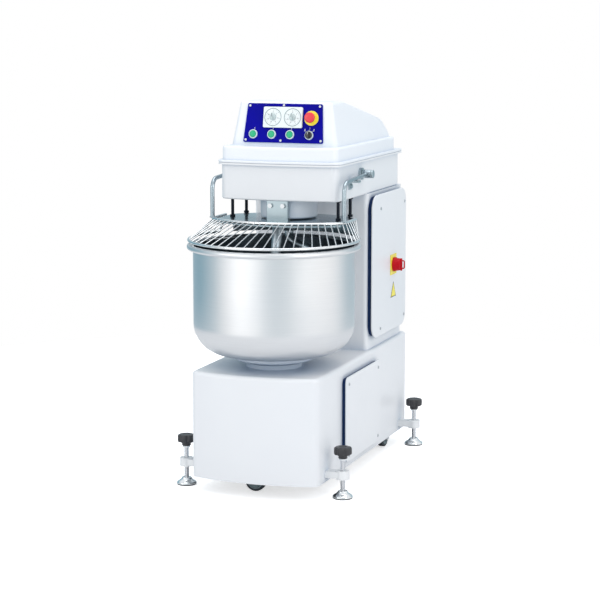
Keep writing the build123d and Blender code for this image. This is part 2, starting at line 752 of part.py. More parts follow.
def build_body():
    save("base_housing", base_housing())
    arms = [side_part(foot_arm(y), s) for y in FOOT_YS for _, s in SIDES]
    save("base_frame", group([base_frame()] + arms))
    save("service_covers", group([rear_cover(BASE_REAR, 200, 100, 420), louvre_cover(),
                                  rear_cover(COLUMN_REAR, 180, 540, 1030)]))
    save("column_housing", column_housing())
    save("cabinet_door", cabinet_door())
    save("head_housing", head_housing())
    save("head_cover", head_cover())
    doors = [side_part(base_door(), sign) for _, sign in SIDES]
    save("base_doors", group(doors))
    gaskets = [side_part(door_gasket(), sign) for _, sign in SIDES]
    save("cover_gaskets", group(gaskets + [cabinet_gasket()]))
    screws = [pan_screw(270, y, z) for y, z in DOOR_SCREWS]
    screws += [mirrored(s) for s in screws]
    screws += [pan_screw(256, y, z) for y, z in CAB_SCREWS]
    save("cover_screws", group(screws + [panel_screws()]))
    save("wiring_plate", wiring_plate())
    save("cable_gland", cable_gland())


def build_feet():
    for y, row in zip(FOOT_YS, ("front", "rear")):
        for name, sign in SIDES:
            tag = f"{row}_{name}"
            save(f"foot_screw_{tag}", side_part(foot_spindle(y) + foot_knob(y), sign))
            save(f"foot_pad_{tag}", side_part(foot_pad(y), sign))
    save("caster_mounts", group([front_mount(), rear_forks()]))
    save("caster_fork", front_fork())
    save("caster_wheel_front", wheel(-22, -137, True))
    save("caster_wheel_right", wheel(205, 720, False))
    save("caster_wheel_left", wheel(-205, 720, False))


def build_panel():
    save("control_panel", control_panel())
    save("timer_module", timer_module())
    save("timer_dials", group([timer_dial(c) for c in DIALS]))
    save("timer_knob_left", timer_knob(DIALS[0]))
    save("timer_knob_right", timer_knob(DIALS[1]))
    save("control_bezels", group([start_bezels(), selector_ring()]))
    for name, c in zip(("left", "middle", "right"), STARTS):
        save(f"start_button_{name}", start_cap(c))
    save("stop_base", stop_base())
    save("stop_button", stop_button())
    save("selector_knob", selector_knob())
    save("isolator_plate", group([isolator_plate(), side_label()]))
    save("isolator_handle", isolator_handle())


def build_bowl():
    save("bowl", bowl())
    save("bowl_flange", bowl_flange())
    save("bowl_drive", bowl_shaft() + pulley(140, 30, 190, 228, 0))
    save("collar", collar())
    save("bowl_motor_pulley", pulley(38, 10, 190, 228, BOWL_MOTOR_Y)
         + stub_shaft(12, 186, 296, BOWL_MOTOR_Y))


def build_drives():
    save("drive_bearings", group([bearing_tube(), bearings((280, 410), 48, 35),
                                  bearings((1020, 1170), 48, 25, SPIRAL_Y)]))
    save("drive_motors", group([bowl_motor(), bowl_motor_plate(),
                                spiral_motor(), spiral_motor_plate()]))
    save("drive_belts", group([belt(140, 0, 38, BOWL_MOTOR_Y, 194, 224),
                               belt(100, SPIRAL_Y, 40, SPIRAL_MOTOR_Y, 1230, 1260)]))


def build_spiral():
    save("spiral_hook", spiral_hook())
    save("spiral_drive", spiral_shaft() + pulley(100, 20, 1226, 1264, SPIRAL_Y))
    save("spiral_housing", spiral_housing())
    save("spiral_motor_pulley", pulley(40, 10, 1226, 1264, SPIRAL_MOTOR_Y)
         + stub_shaft(16, 1010, 1268, SPIRAL_MOTOR_Y))
    save("breaker_bar", breaker_bar())
    save("breaker_block", breaker_block())
    save("breaker_bolts", breaker_bolts())
    save("lid_plate", lid_plate())
    save("lid_rods", lid_rods())


def build_guard():
    save("guard_cage", guard_cage())
    arm = guard_arm()
    save("guard_arms", group([arm, mirrored(arm)]))
    fixed = [guard_pivot(), guard_rest()]
    save("guard_brackets", group(fixed + [mirrored(p) for p in fixed]))


build_body()
build_feet()
build_panel()
build_bowl()
build_drives()
build_spiral()
build_guard()
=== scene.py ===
"""Looks for the floor-standing spiral dough mixer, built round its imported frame.

Everything is in metres in the frame's own axes: +X to the operator's right, +Y to the
rear column, +Z up. Each sub-assembly is a class that builds its meshes and dresses them.
"""
import json
import logging
import math
from dataclasses import dataclass, field
from enum import Enum
from typing import Callable, Iterable, Sequence

import bpy
from mathutils import Matrix, Vector

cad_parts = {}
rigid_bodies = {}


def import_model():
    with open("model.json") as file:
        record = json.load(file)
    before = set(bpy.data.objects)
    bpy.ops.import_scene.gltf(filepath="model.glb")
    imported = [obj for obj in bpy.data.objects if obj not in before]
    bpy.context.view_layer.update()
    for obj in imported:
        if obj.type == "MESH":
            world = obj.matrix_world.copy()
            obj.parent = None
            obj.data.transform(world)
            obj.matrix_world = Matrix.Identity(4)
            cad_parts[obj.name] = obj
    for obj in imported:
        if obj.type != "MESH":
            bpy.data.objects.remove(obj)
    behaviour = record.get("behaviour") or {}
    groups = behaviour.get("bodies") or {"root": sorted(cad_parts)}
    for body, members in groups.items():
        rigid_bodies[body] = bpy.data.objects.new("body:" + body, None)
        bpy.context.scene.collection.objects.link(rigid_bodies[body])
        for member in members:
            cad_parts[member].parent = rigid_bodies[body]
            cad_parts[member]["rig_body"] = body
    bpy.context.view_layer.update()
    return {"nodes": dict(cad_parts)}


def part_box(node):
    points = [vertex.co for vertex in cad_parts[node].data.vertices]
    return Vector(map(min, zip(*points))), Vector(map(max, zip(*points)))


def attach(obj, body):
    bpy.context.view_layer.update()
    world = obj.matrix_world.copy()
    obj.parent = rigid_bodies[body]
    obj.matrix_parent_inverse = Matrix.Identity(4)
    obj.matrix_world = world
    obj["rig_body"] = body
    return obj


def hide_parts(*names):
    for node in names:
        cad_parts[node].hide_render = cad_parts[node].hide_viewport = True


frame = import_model()
LOG = logging.getLogger("dough_mixer")
Point = tuple[float, float, float]
Colour = tuple[float, float, float]
MM = 0.001


# ------------------------------------------------------------------ choices
class Brushing(Enum):
    """Which way the polishing lines of a steel sheet run."""

    ROUND = "round"
    ALONG_X = "along_x"
    ALONG_Z = "along_z"


class Shade(Enum):
    """How a mesh's edges are shaded, as the angle in radians above which they stay crisp."""

    CRISP = 0.35
    SOFT = 0.75


# ------------------------------------------------------------------ node helper
class Graph:
    """A small helper that wires the nodes of one material or world."""

    def __init__(self, owner: bpy.types.Material | bpy.types.World) -> None:
        """Opens the node tree of a new material or world.

        Args:
            owner: What the nodes belong to.
        """
        self.owner = owner
        owner.use_nodes = True
        self.tree = owner.node_tree
        self.coords = self.add("ShaderNodeTexCoord").outputs["Object"]

    def add(self, kind: str, **settings: object) -> bpy.types.Node:
        """Adds a node and sets its plain properties.

        Args:
            kind: The node's class name.
            **settings: Properties to set on it.

        Returns:
            The new node.
        """
        node = self.tree.nodes.new(kind)
        for key, value in settings.items():
            setattr(node, key, value)
        return node

    def feed(self, socket: bpy.types.NodeSocket, value: object) -> None:
        """Links a socket to another, or sets its value.

        Args:
            socket: The input socket.
            value: An output socket, a number or a colour.
        """
        if isinstance(value, bpy.types.NodeSocket):
            self.tree.links.new(value, socket)
        elif isinstance(value, tuple) and len(value) == 3 and socket.type == "RGBA":
            socket.default_value = (*value, 1.0)
        else:
            socket.default_value = value

    def sum(self, operation: str, a: object, b: object = 0.0) -> bpy.types.NodeSocket:
        """One arithmetic step.

        Args:
            operation: The math node's operation.
            a: First value or socket.
            b: Second value or socket.

        Returns:
            The result's socket.
        """
        node = self.add("ShaderNodeMath", operation=operation)
        self.feed(node.inputs[0], a)
        self.feed(node.inputs[1], b)
        return node.outputs[0]

    def stretch(self, x: float, y: float, z: float) -> bpy.types.NodeSocket:
        """Object coordinates scaled along each axis.

        Args:
            x: Scale along X.
            y: Scale along Y.
            z: Scale along Z.

        Returns:
            The scaled coordinates.
        """
        node = self.add("ShaderNodeMapping")
        self.feed(node.inputs["Vector"], self.coords)
        node.inputs["Scale"].default_value = (x, y, z)
        return node.outputs[0]

    def axis(self, name: str) -> bpy.types.NodeSocket:
        """One component of the object coordinates.

        Args:
            name: "X", "Y" or "Z".

        Returns:
            That component's socket.
        """
        node = self.add("ShaderNodeSeparateXYZ")
        self.feed(node.inputs[0], self.coords)
        return node.outputs[name]

    def noise(self, scale: float, detail: float = 3.0, rough: float = 0.5,
              at: bpy.types.NodeSocket | None = None) -> bpy.types.NodeSocket:
        """Fractal noise over the surface.

        Args:
            scale: Features per metre.
            detail: Number of octaves.
            rough: How strong the fine octaves are.
            at: Coordinates to use in place of the object's.

        Returns:
            The noise value's socket.
        """
        node = self.add("ShaderNodeTexNoise")
        self.feed(node.inputs["Vector"], at or self.coords)
        node.inputs["Scale"].default_value = scale
        node.inputs["Detail"].default_value = detail
        node.inputs["Roughness"].default_value = rough
        return node.outputs[0]

    def span(self, value: bpy.types.NodeSocket, low: float, high: float,
             to_low: float, to_high: float) -> bpy.types.NodeSocket:
        """Maps a value from one range to another, clamped.

        Args:
            value: The incoming socket.
            low: Start of its range.
            high: End of its range.
            to_low: Result at low.
            to_high: Result at high.

        Returns:
            The mapped socket.
        """
        node = self.add("ShaderNodeMapRange")
        for i, v in enumerate((value, low, high, to_low, to_high)):
            self.feed(node.inputs[i], v)
        return node.outputs[0]

    def blend(self, amount: object, a: object, b: object) -> bpy.types.NodeSocket:
        """Mixes two colours.

        Args:
            amount: Share of b, a number or socket.
            a: Colour or socket.
            b: Colour or socket.

        Returns:
            The mixed colour's socket.
        """
        node = self.add("ShaderNodeMix", data_type="RGBA")
        self.feed(node.inputs[0], amount)
        self.feed(node.inputs[6], a)
        self.feed(node.inputs[7], b)
        return node.outputs[2]

    def bump(self, height: bpy.types.NodeSocket, strength: float,
             depth: float) -> bpy.types.NodeSocket:
        """Turns a height into a surface normal.

        Args:
            height: The height's socket.
            strength: How strongly it acts.
            depth: Distance in metres of a full step.

        Returns:
            The bumped normal.
        """
        node = self.add("ShaderNodeBump")
        node.inputs["Strength"].default_value = strength
        node.inputs["Distance"].default_value = depth
        self.feed(node.inputs["Height"], height)
        return node.outputs[0]

    def crevices(self, reach: float) -> bpy.types.NodeSocket:
        """How open the surface is: 1 in the open, 0 deep in a corner.

        Args:
            reach: How far neighbours count, in metres.

        Returns:
            The openness socket.
        """
        node = self.add("ShaderNodeAmbientOcclusion", samples=6)
        node.inputs["Distance"].default_value = reach
        return node.outputs["AO"]

    def grime(self, tone: object, reach: float, opens: tuple[float, float], share: float,
              shade: Colour) -> bpy.types.NodeSocket:
        """Paints shade into a tone, darker in corners where shade falls.

        Args:
            tone: The colour in the open.
            reach: How far neighbours count, in metres.
            opens: The openness at which the shade is full and at which it is gone.
            share: How much of the shade shows at most.
            shade: The colour of the painted shade in corners.

        Returns:
            The shaded tone.
        """
        # Painted shade: the tone turns toward the shade colour where the surface is closed in.
        depth = self.span(self.crevices(reach), *opens, share, 0.0)
        return self.blend(depth, tone, shade)

    def surface(self, **inputs: object) -> bpy.types.Material:
        """Feeds the shader's sockets by name.

        Args:
            **inputs: Socket names with underscores for spaces.

        Returns:
            The finished material.
        """
        shader = self.tree.nodes["Principled BSDF"]
        for key, value in inputs.items():
            self.feed(shader.inputs[key.replace("_", " ")], value)
        return self.owner


# ------------------------------------------------------------------ finishes
@dataclass(frozen=True)
class Finish:
    """A surface finish that builds its material once."""

    name: str
    colour: Colour

    def build(self, graph: Graph) -> bpy.types.Material:
        """Wires the material on a graph; each finish has its own."""
        raise NotImplementedError

    def material(self) -> bpy.types.Material:
        """The finished material, built on first use."""
        known = bpy.data.materials.get(self.name)
        return known or self.build(Graph(bpy.data.materials.new(self.name)))


@dataclass(frozen=True)
class PowderCoat(Finish):
    """Baked powder paint with orange peel, faint mottling and painted cool shade in its corners.
    """

    roughness: float = 0.36
    peel: float = 0.05
    reach: float = 0.08
    # Factors for the colour of the painted cool shade in corners.
    shade: Colour = (0.30, 0.47, 0.68)
    shade_share: float = 0.62

    def build(self, graph: Graph) -> bpy.types.Material:
        """Wires the paint.

        Args:
            graph: The empty material.

        Returns:
            The painted material.
        """
        r, g, b = self.colour
        drift = graph.span(graph.noise(2.6, 4.0), 0.3, 0.7, 0.0, 1.0)
        tone = graph.blend(drift, self.colour, (r * 0.975, g * 0.978, b * 0.985))
        # Painted shade: a cool, darker tone in the paint's corners.
        tone = graph.grime(tone, self.reach, (0.15, 0.85), self.shade_share,
                           tuple(c * k for c, k in zip(self.colour, self.shade)))
        smudge = graph.noise(19.0, 5.0, 0.6)
        rough = graph.span(smudge, 0.3, 0.75, self.roughness - 0.04, self.roughness + 0.08)
        peel = graph.bump(graph.noise(700.0, 2.0), self.peel, 0.0003)
        return graph.surface(Base_Color=tone, Roughness=rough, Normal=peel,
                             Coat_Weight=0.12, Coat_Roughness=0.25)


@dataclass(frozen=True)
class BrushedSteel(Finish):
    """Stainless sheet with fine polishing lines."""

    brushing: Brushing = Brushing.ROUND
    roughness: float = 0.25
    lines: float = 1100.0
    centre: tuple[float, float] = (0.0, 0.0)
    anisotropy: float = 0.35
    contrast: float = 0.06
    relief: float = 0.02

    def lay(self, graph: Graph) -> bpy.types.NodeSocket:
        """Coordinates in which the noise is drawn out into lines.

        Args:
            graph: The material being wired.

        Returns:
            The stretched coordinates.
        """
        if self.brushing is not Brushing.ROUND:
            scales = {Brushing.ALONG_X: (5.0, self.lines, self.lines),
                      Brushing.ALONG_Z: (self.lines, self.lines, 5.0)}
            return graph.stretch(*scales[self.brushing])
        x = graph.sum("SUBTRACT", graph.axis("X"), self.centre[0])
        y = graph.sum("SUBTRACT", graph.axis("Y"), self.centre[1])
        squares = graph.sum("ADD", graph.sum("MULTIPLY", x, x), graph.sum("MULTIPLY", y, y))
        along = graph.sum("ADD", graph.sum("SQRT", squares), graph.axis("Z"))
        node = graph.add("ShaderNodeCombineXYZ")
        graph.feed(node.inputs[0], graph.sum("MULTIPLY", x, 6.0))
        graph.feed(node.inputs[1], graph.sum("MULTIPLY", y, 6.0))
        graph.feed(node.inputs[2], graph.sum("MULTIPLY", along, self.lines))
        return node.outputs[0]

    def build(self, graph: Graph) -> bpy.types.Material:
        """Wires the steel.

        Args:
            graph: The empty material.

        Returns:
            The steel material.
        """
        lines = graph.noise(1.0, 2.0, 0.5, self.lay(graph))
        cloud = graph.noise(4.0, 4.0, 0.6)
        k = 1.0 - self.contrast
        tone = graph.blend(graph.span(lines, 0.35, 0.65, 0.0, 1.0), self.colour,
                           tuple(c * k for c in self.colour))
        r, g, b = self.colour
        tone = graph.blend(graph.span(cloud, 0.4, 0.75, 0.0, 0.4), tone,
                           (r * 0.90, g * 0.92, b * 0.95))
        rough = graph.sum("ADD", graph.span(lines, 0.3, 0.7, self.roughness - 0.03,
                                            self.roughness + 0.03),
                          graph.span(cloud, 0.3, 0.8, 0.0, 0.05))
        normal = graph.bump(lines, self.relief, 0.0001)
        return graph.surface(Base_Color=tone, Metallic=1.0, Roughness=rough, Normal=normal,
                             Anisotropic=self.anisotropy)


@dataclass(frozen=True)
class PlainMetal(Finish):
    """Plated, polished or oxidised metal with scuffs and handling marks."""

    roughness: float = 0.16
    scuff: float = 0.12
    grain: float = 60.0
    dark: float = 0.80

    def build(self, graph: Graph) -> bpy.types.Material:
        """Wires the metal.

        Args:
            graph: The empty material.

        Returns:
            The metal material.
        """
        marks = graph.noise(self.grain, 6.0, 0.7)
        fine = graph.noise(self.grain * 14.0, 2.0)
        tone = graph.blend(graph.span(marks, 0.4, 0.75, 0.0, 0.7), self.colour,
                           tuple(c * self.dark for c in self.colour))
        # Painted shade: darker metal colour in corners.
        tone = graph.grime(tone, 0.005, (0.2, 0.8), 0.75, tuple(c * 0.30 for c in self.colour))
        rough = graph.span(marks, 0.3, 0.75, self.roughness, self.roughness + self.scuff)
        normal = graph.bump(fine, 0.04, 0.0002)
        return graph.surface(Base_Color=tone, Metallic=1.0, Roughness=rough, Normal=normal)


@dataclass(frozen=True)
class Moulded(Finish):
    """Moulded plastic with a fine spark texture and a little handling gloss."""

    roughness: float = 0.30
    spark: float = 0.06
    coat: float = 0.15
    lighten: float = 0.06
    specular: float = 0.4

    def build(self, graph: Graph) -> bpy.types.Material:
        """Wires the plastic.

        Args:
            graph: The empty material.

        Returns:
            The plastic material.
        """
        lift = tuple(min(1.0, c * (1.0 - self.lighten) + self.lighten) for c in self.colour)
        rub = graph.noise(40.0, 5.0, 0.6)
        fine = graph.noise(1800.0, 2.0)
        tone = graph.blend(graph.span(rub, 0.45, 0.8, 0.0, 0.5), self.colour, lift)
        # Painted shade: darker plastic colour in corners.
        tone = graph.grime(tone, 0.004, (0.2, 0.8), 0.7, tuple(c * 0.40 for c in self.colour))
        rough = graph.span(rub, 0.3, 0.8, self.roughness - 0.05, self.roughness + 0.12)
        normal = graph.bump(fine, self.spark, 0.0002)
        return graph.surface(Base_Color=tone, Roughness=rough, Normal=normal,
                             Specular_IOR_Level=self.specular,
                             Coat_Weight=self.coat, Coat_Roughness=0.12)


@dataclass(frozen=True)
class Rubber(Finish):
    """Rubber or foam with a dull, dusty skin."""

    roughness: float = 0.72
    pores: float = 500.0
    dust: Colour = (0.30, 0.31, 0.33)
    worn: float = 0.3

    def build(self, graph: Graph) -> bpy.types.Material:
        """Wires the rubber.

        Args:
            graph: The empty material.

        Returns:
            The rubber material.
        """
        pores = graph.noise(self.pores, 3.0, 0.7)
        worn = graph.span(graph.noise(30.0, 5.0, 0.7), 0.5, 0.8, 0.0, self.worn)
        tone = graph.blend(worn, self.colour, self.dust)
        normal = graph.bump(pores, 0.25, 0.0004)
        rough = graph.span(pores, 0.3, 0.7, self.roughness - 0.08, self.roughness + 0.1)
        return graph.surface(Base_Color=tone, Roughness=rough, Normal=normal,
                             Specular_IOR_Level=0.25)


@dataclass(frozen=True)
class PrintedSheet(Finish):
    """A printed panel foil: one deep colour, satin lacquer, a fine embossed grain."""

    deep: Colour = (0.003, 0.006, 0.10)

    def build(self, graph: Graph) -> bpy.types.Material:
        """Wires the foil.

        Args:
            graph: The empty material.

        Returns:
            The foil material.
        """
        cloud = graph.span(graph.noise(11.0, 4.0), 0.35, 0.75, 0.0, 0.35)
        tone = graph.blend(cloud, self.colour, self.deep)
        # Painted shade: the foil turns to its deep colour in corners.
        tone = graph.grime(tone, 0.012, (0.2, 0.9), 0.8, self.deep)
        grain = graph.noise(2600.0, 1.0)
        rough = graph.span(graph.noise(60.0, 4.0), 0.3, 0.7, 0.42, 0.55)
        return graph.surface(Base_Color=tone, Roughness=rough, Specular_IOR_Level=0.06,
                             Normal=graph.bump(grain, 0.05, 0.0002))


BOWL_CENTRE = ((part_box("bowl")[0].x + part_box("bowl")[1].x) / 2,
               (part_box("bowl")[0].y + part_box("bowl")[1].y) / 2)
PAINT = PowderCoat("paint_white", (0.790, 0.803, 0.825))
COVER = PowderCoat("cover_moulding_white", (0.81, 0.835, 0.875), peel=0.02)
FRAME_PAINT = PowderCoat("frame_paint", (0.76, 0.78, 0.81), roughness=0.42, peel=0.12)
MOTOR_PAINT = PowderCoat("motor_paint", (0.07, 0.12, 0.20), roughness=0.45, peel=0.2)
# Dark navy gasket: the rubber's own dark colour, deepened and tinted navy as painted shadow in the
# gaps round doors and covers.
GASKET_GAP_SHADE = Rubber("gasket_gap_shade", (0.004, 0.022, 0.085), dust=(0.02, 0.06, 0.16))
BELT = Rubber("belt_rubber", (0.018, 0.018, 0.02), roughness=0.6)
TYRE = Rubber("caster_tyre", (0.045, 0.055, 0.065), roughness=0.5, dust=(0.16, 0.18, 0.19))
BOWL_STEEL = BrushedSteel("bowl_steel", (0.78, 0.79, 0.80), centre=BOWL_CENTRE,
                          contrast=0.035, relief=0.004, roughness=0.31)
# Far darker copy of the bowl steel: painted shade for the inside of the bowl.
BOWL_INSIDE_SHADE = BrushedSteel("bowl_inside_shade_steel", (0.13, 0.165, 0.195), centre=BOWL_CENTRE,
                           roughness=0.34)
# Lid steel darkened and tinted teal: partly the steel's own colour, partly painted shade for the
# dark head it reflects.
LID_STEEL_SHADED = BrushedSteel("lid_steel_shaded", (0.36, 0.45, 0.49), brushing=Brushing.ALONG_X,
                         roughness=0.19, contrast=0.04, relief=0.005)
BLOCK_STEEL = BrushedSteel("bracket_steel", (0.42, 0.50, 0.53), brushing=Brushing.ALONG_Z,
                           roughness=0.32)
HOOK_STEEL = PlainMetal("hook_steel", (0.40, 0.46, 0.50), roughness=0.3)
ZINC = PlainMetal("zinc_plate", (0.62, 0.65, 0.67), roughness=0.24)
CHROME = PlainMetal("chrome_plate", (0.84, 0.87, 0.88), roughness=0.07, scuff=0.07)
SCREW_STEEL = PlainMetal("screw_steel", (0.20, 0.29, 0.33), roughness=0.2)
MACHINED = PlainMetal("machined_steel", (0.36, 0.36, 0.37), roughness=0.32, scuff=0.2)
OXIDE = PlainMetal("dark_rod", (0.018, 0.022, 0.03), roughness=0.34, dark=0.6)
WIRE = PlainMetal("guard_steel", (0.80, 0.825, 0.835), roughness=0.15, scuff=0.08, grain=90.0)
ARM_STEEL = PlainMetal("arm_steel", (0.42, 0.49, 0.53), roughness=0.2, scuff=0.06)
PANEL_FOIL = PrintedSheet("panel_foil", (0.0015, 0.001, 0.30))
MODULE_WHITE = Moulded("timer_housing", (0.78, 0.84, 0.84), coat=0.05, roughness=0.42)
DIAL_WHITE = Moulded("dial_face", (0.82, 0.87, 0.87), roughness=0.45, coat=0.0, spark=0.02)
KNOB_GREY = Moulded("timer_knob_white", (0.52, 0.61, 0.61), roughness=0.38)
BEZEL = Moulded("button_bezel", (0.70, 0.80, 0.83), roughness=0.38)
HUB_GREY = Moulded("caster_hub", (0.20, 0.27, 0.29), roughness=0.4)
KNOB_BLACK = Moulded("knob_black", (0.0015, 0.007, 0.022), lighten=0.0, roughness=0.24,
                     specular=0.20, coat=0.0)
GREEN = Moulded("start_green", (0.02, 0.42, 0.20), roughness=0.36, specular=0.2, lighten=0.10)
YELLOW = Moulded("stop_yellow", (0.70, 0.56, 0.05), roughness=0.4, specular=0.12, coat=0.0)
RED = Moulded("stop_red", (0.62, 0.008, 0.035), roughness=0.36, specular=0.14, lighten=0.02,
              coat=0.0)
ISOLATOR_RED = Moulded("isolator_red", (0.50, 0.003, 0.010), roughness=0.36, specular=0.14,
                       lighten=0.02, coat=0.0)
ISOLATOR_YELLOW = Moulded("isolator_yellow", (0.40, 0.38, 0.05), roughness=0.4,
                          specular=0.12, coat=0.0)
# Grey dial rings: their grey stands in for painted shadow round each dial.
RING_SHADE_GREY = Moulded("timer_ring_shade_grey", (0.30, 0.37, 0.38), roughness=0.4)
PRINT_DARK = Moulded("print_dark", (0.015, 0.02, 0.03), roughness=0.6, coat=0.0)
PRINT_GREY = Moulded("print_grey", (0.16, 0.20, 0.22), roughness=0.6, coat=0.0)
PRINT_WHITE = Moulded("print_white", (0.85, 0.87, 0.88), roughness=0.5, coat=0.0)
BOARD = Moulded("terminal_plastic", (0.25, 0.27, 0.29), roughness=0.5)


# ------------------------------------------------------------------ forms
@dataclass
class Form:
    """Points and faces gathered into one mesh, laid out in millimetres on a placement."""

    place: Matrix = field(default_factory=Matrix)
    verts: list[Vector] = field(default_factory=list)
    faces: list[tuple[int, ...]] = field(default_factory=list)

    def skin(self, rings: Sequence[Sequence[Sequence[float]]], wrap: bool = True,
             loop: bool = False, caps: bool = True) -> None:
        """Skins a run of rings that all have the same number of points.

        Args:
            rings: The rings, each a run of points.
            wrap: Whether each ring closes on itself.
            loop: Whether the last ring joins the first.
            caps: Whether the two ends are filled.
        """
        start, width = len(self.verts), len(rings[0])
        for ring in rings:
            self.verts += [self.place @ Vector(p) for p in ring]
        joints = len(rings) if loop else len(rings) - 1
        for i in range(joints):
            low, high = start + i * width, start + (i + 1) % len(rings) * width
            for j in range(width if wrap else width - 1):
                k = (j + 1) % width
                self.faces.append((low + j, low + k, high + k, high + j))
        if caps and not loop and wrap:
            last = start + (len(rings) - 1) * width
            self.faces.append(tuple(range(start + width - 1, start - 1, -1)))
            self.faces.append(tuple(range(last, last + width)))

    def lathe(self, profile: Sequence[tuple[float, float]], steps: int = 64,
              centre: tuple[float, float] = (0.0, 0.0), loop: bool = False,
              wave: Callable[[float, float], float] | None = None) -> None:
        """Turns a profile about the placement's own Z axis.

        Args:
            profile: Radius and height of each point, from the bottom up.
            steps: Points round the turn.
            centre: Where the axis stands.
            loop: Whether the profile is a closed ring with a hole through it.
            wave: Takes radius and angle and gives the radius there.
        """
        rings = []
        for r, z in profile:
            ring = []
            for i in range(steps):
                a = math.tau * i / steps
                reach = wave(r, a) if wave else r
                ring.append((centre[0] + reach * math.cos(a), centre[1] + reach * math.sin(a), z))
            rings.append(ring)
        self.skin(rings, loop=loop)

    def sweep(self, path: Sequence[Sequence[float]], radius: float, sides: int = 12) -> None:
        """Draws a round bar along a path, with eased ends.

        Args:
            path: The path's points.
            radius: The bar's radius.
            sides: Points round the bar.
        """
        points = [Vector(p) for p in path]
        last = len(points) - 1
        eased = [(0.0, 0.6), (radius * 0.35, 0.92), (radius * 0.8, 1.0)]
        side = (points[1] - points[0]).normalized().orthogonal().normalized()
        rings = []
        for i, point in enumerate(points):
            run = (points[min(i + 1, last)] - points[max(i - 1, 0)]).normalized()
            side = (side - run * side.dot(run)).normalized()
            up = run.cross(side)
            ends = [(0.0, 1.0)]
            if i == 0:
                ends = eased
            elif i == last:
                ends = [(-shift, share) for shift, share in reversed(eased)]
            for shift, share in ends:
                rings.append([point + run * shift + (side * math.cos(a) + up * math.sin(a))
                              * radius * share
                              for a in (math.tau * j / sides for j in range(sides))])
        self.skin(rings)

    def take(self, other: "Form") -> None:
        """Takes over another form's points and faces.

        Args:
            other: The other form, laid out on its own placement.
        """
        start = len(self.verts)
        self.verts += other.verts
        self.faces += [tuple(start + k for k in face) for face in other.faces]

    def weld(self) -> None:
        """Joins points that fall on each other and drops the faces that vanish."""
        found: dict[tuple[int, int, int], int] = {}
        verts, order = [], []
        for vert in self.verts:
            key = (round(vert.x * 50), round(vert.y * 50), round(vert.z * 50))
            if key not in found:
                found[key] = len(verts)
                verts.append(vert)
            order.append(found[key])
        faces = []
        for face in self.faces:
            loop = [order[i] for i in face]
            kept = [v for v, before in zip(loop, loop[-1:] + loop[:-1]) if v != before]
            if len(set(kept)) == len(kept) and len(kept) > 2:
                faces.append(tuple(kept))
        self.verts, self.faces = verts, faces

    def slab(self, outline: Sequence[tuple[float, float]],
             levels: Sequence[tuple[float, float]]) -> None:
        """Raises a plate from a convex outline, level by level.

        Args:
            outline: The outline's points, anticlockwise.
            levels: Inset and height of each level.
        """
        count = len(outline)
        inward = []
        for i in range(count):
            a, b, c = (Vector(outline[j % count]) for j in (i - 1, i, i + 1))
            n1, n2 = (Vector((-(q - p).y, (q - p).x)).normalized() for p, q in ((a, b), (b, c)))
            total = n1 + n2
            inward.append(total / max(0.3, 1.0 + n1.dot(n2)))
        self.skin([[(p[0] + n.x * inset, p[1] + n.y * inset, z)
                    for p, n in zip(outline, inward)] for inset, z in levels])

    def rounded(self, width: float, height: float, corner: float, centre: tuple[float, float],
                levels: Sequence[tuple[float, float]], steps: int = 6) -> None:
        """Raises a rounded rectangle.

        Args:
            width: Size along the placement's X.
            height: Size along the placement's Y.
            corner: Corner radius.
            centre: Its middle.
            levels: Inset and height of each level.
            steps: Points per corner.
        """
        outline = []
        for quarter, (sx, sy) in enumerate(((1, 1), (-1, 1), (-1, -1), (1, -1))):
            cx = centre[0] + sx * (width / 2 - corner)
            cy = centre[1] + sy * (height / 2 - corner)
            for i in range(steps + 1):
                a = (quarter + i / steps) * math.pi / 2
                outline.append((cx + corner * math.cos(a), cy + corner * math.sin(a)))
        self.slab(outline, levels)

    def piece(self, name: str, finish: Finish, body: str, slot: str,
              shade: Shade = Shade.SOFT, replaces: Sequence[str] = ()) -> bpy.types.Object:
        """Makes the piece, dresses it and lets it ride on its body.

        Args:
            name: The piece's name.
            finish: The finish it wears.
            body: The body it moves with.
            slot: The record's material slot; not used.
            shade: How its edges are shaded.
            replaces: CAD nodes it stands for.

        Returns:
            The new object.
        """
        mesh = bpy.data.meshes.new(name)
        mesh.from_pydata([tuple(v * MM) for v in self.verts], [], self.faces)
        mesh.validate()
        mesh.polygons.foreach_set("use_smooth", [True] * len(mesh.polygons))
        mesh.set_sharp_from_angle(angle=shade.value)
        mesh.materials.append(finish.material())
        piece = bpy.data.objects.new(name, mesh)
        bpy.context.scene.collection.objects.link(piece)
        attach(piece, body)
        if replaces:
            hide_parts(*replaces)
        LOG.info("%s: %d faces on %s", name, len(mesh.polygons), body)
        return piece


def dress(nodes: Iterable[str], finish: Finish) -> None:
    """Gives CAD nodes their finish.

    Args:
        nodes: Names of the CAD nodes.
        finish: The finish they wear.
    """
    for name in nodes:
        node = frame["nodes"][name]
        node.data.materials.clear()
        node.data.materials.append(finish.material())


FACING_X = Matrix(((0, 0, 1), (1, 0, 0), (0, 1, 0))).to_4x4()
FACING_BACK = Matrix(((1, 0, 0), (0, 0, -1), (0, 1, 0))).to_4x4()


def middle(node: str) -> Vector:
    """The middle of a CAD node's box, in millimetres."""
    low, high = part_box(node)
    return (low + high) / 2 / MM


def body_of(node: str) -> str:
    """The name of the body that a CAD node rides on."""
    return frame["nodes"][node]["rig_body"]


def arc_points(centre: tuple[float, float], radius: float, start: float, end: float,
               steps: int) -> list[tuple[float, float]]:
    """Points along an arc.

    Args:
        centre: The arc's centre.
        radius: Its radius.
        start: First angle in degrees.
        end: Last angle in degrees.
        steps: Number of runs.

    Returns:
        The points, first to last.
    """
    angles = (math.radians(start + (end - start) * i / steps) for i in range(steps + 1))
    return [(centre[0] + radius * math.cos(a), centre[1] + radius * math.sin(a)) for a in angles]


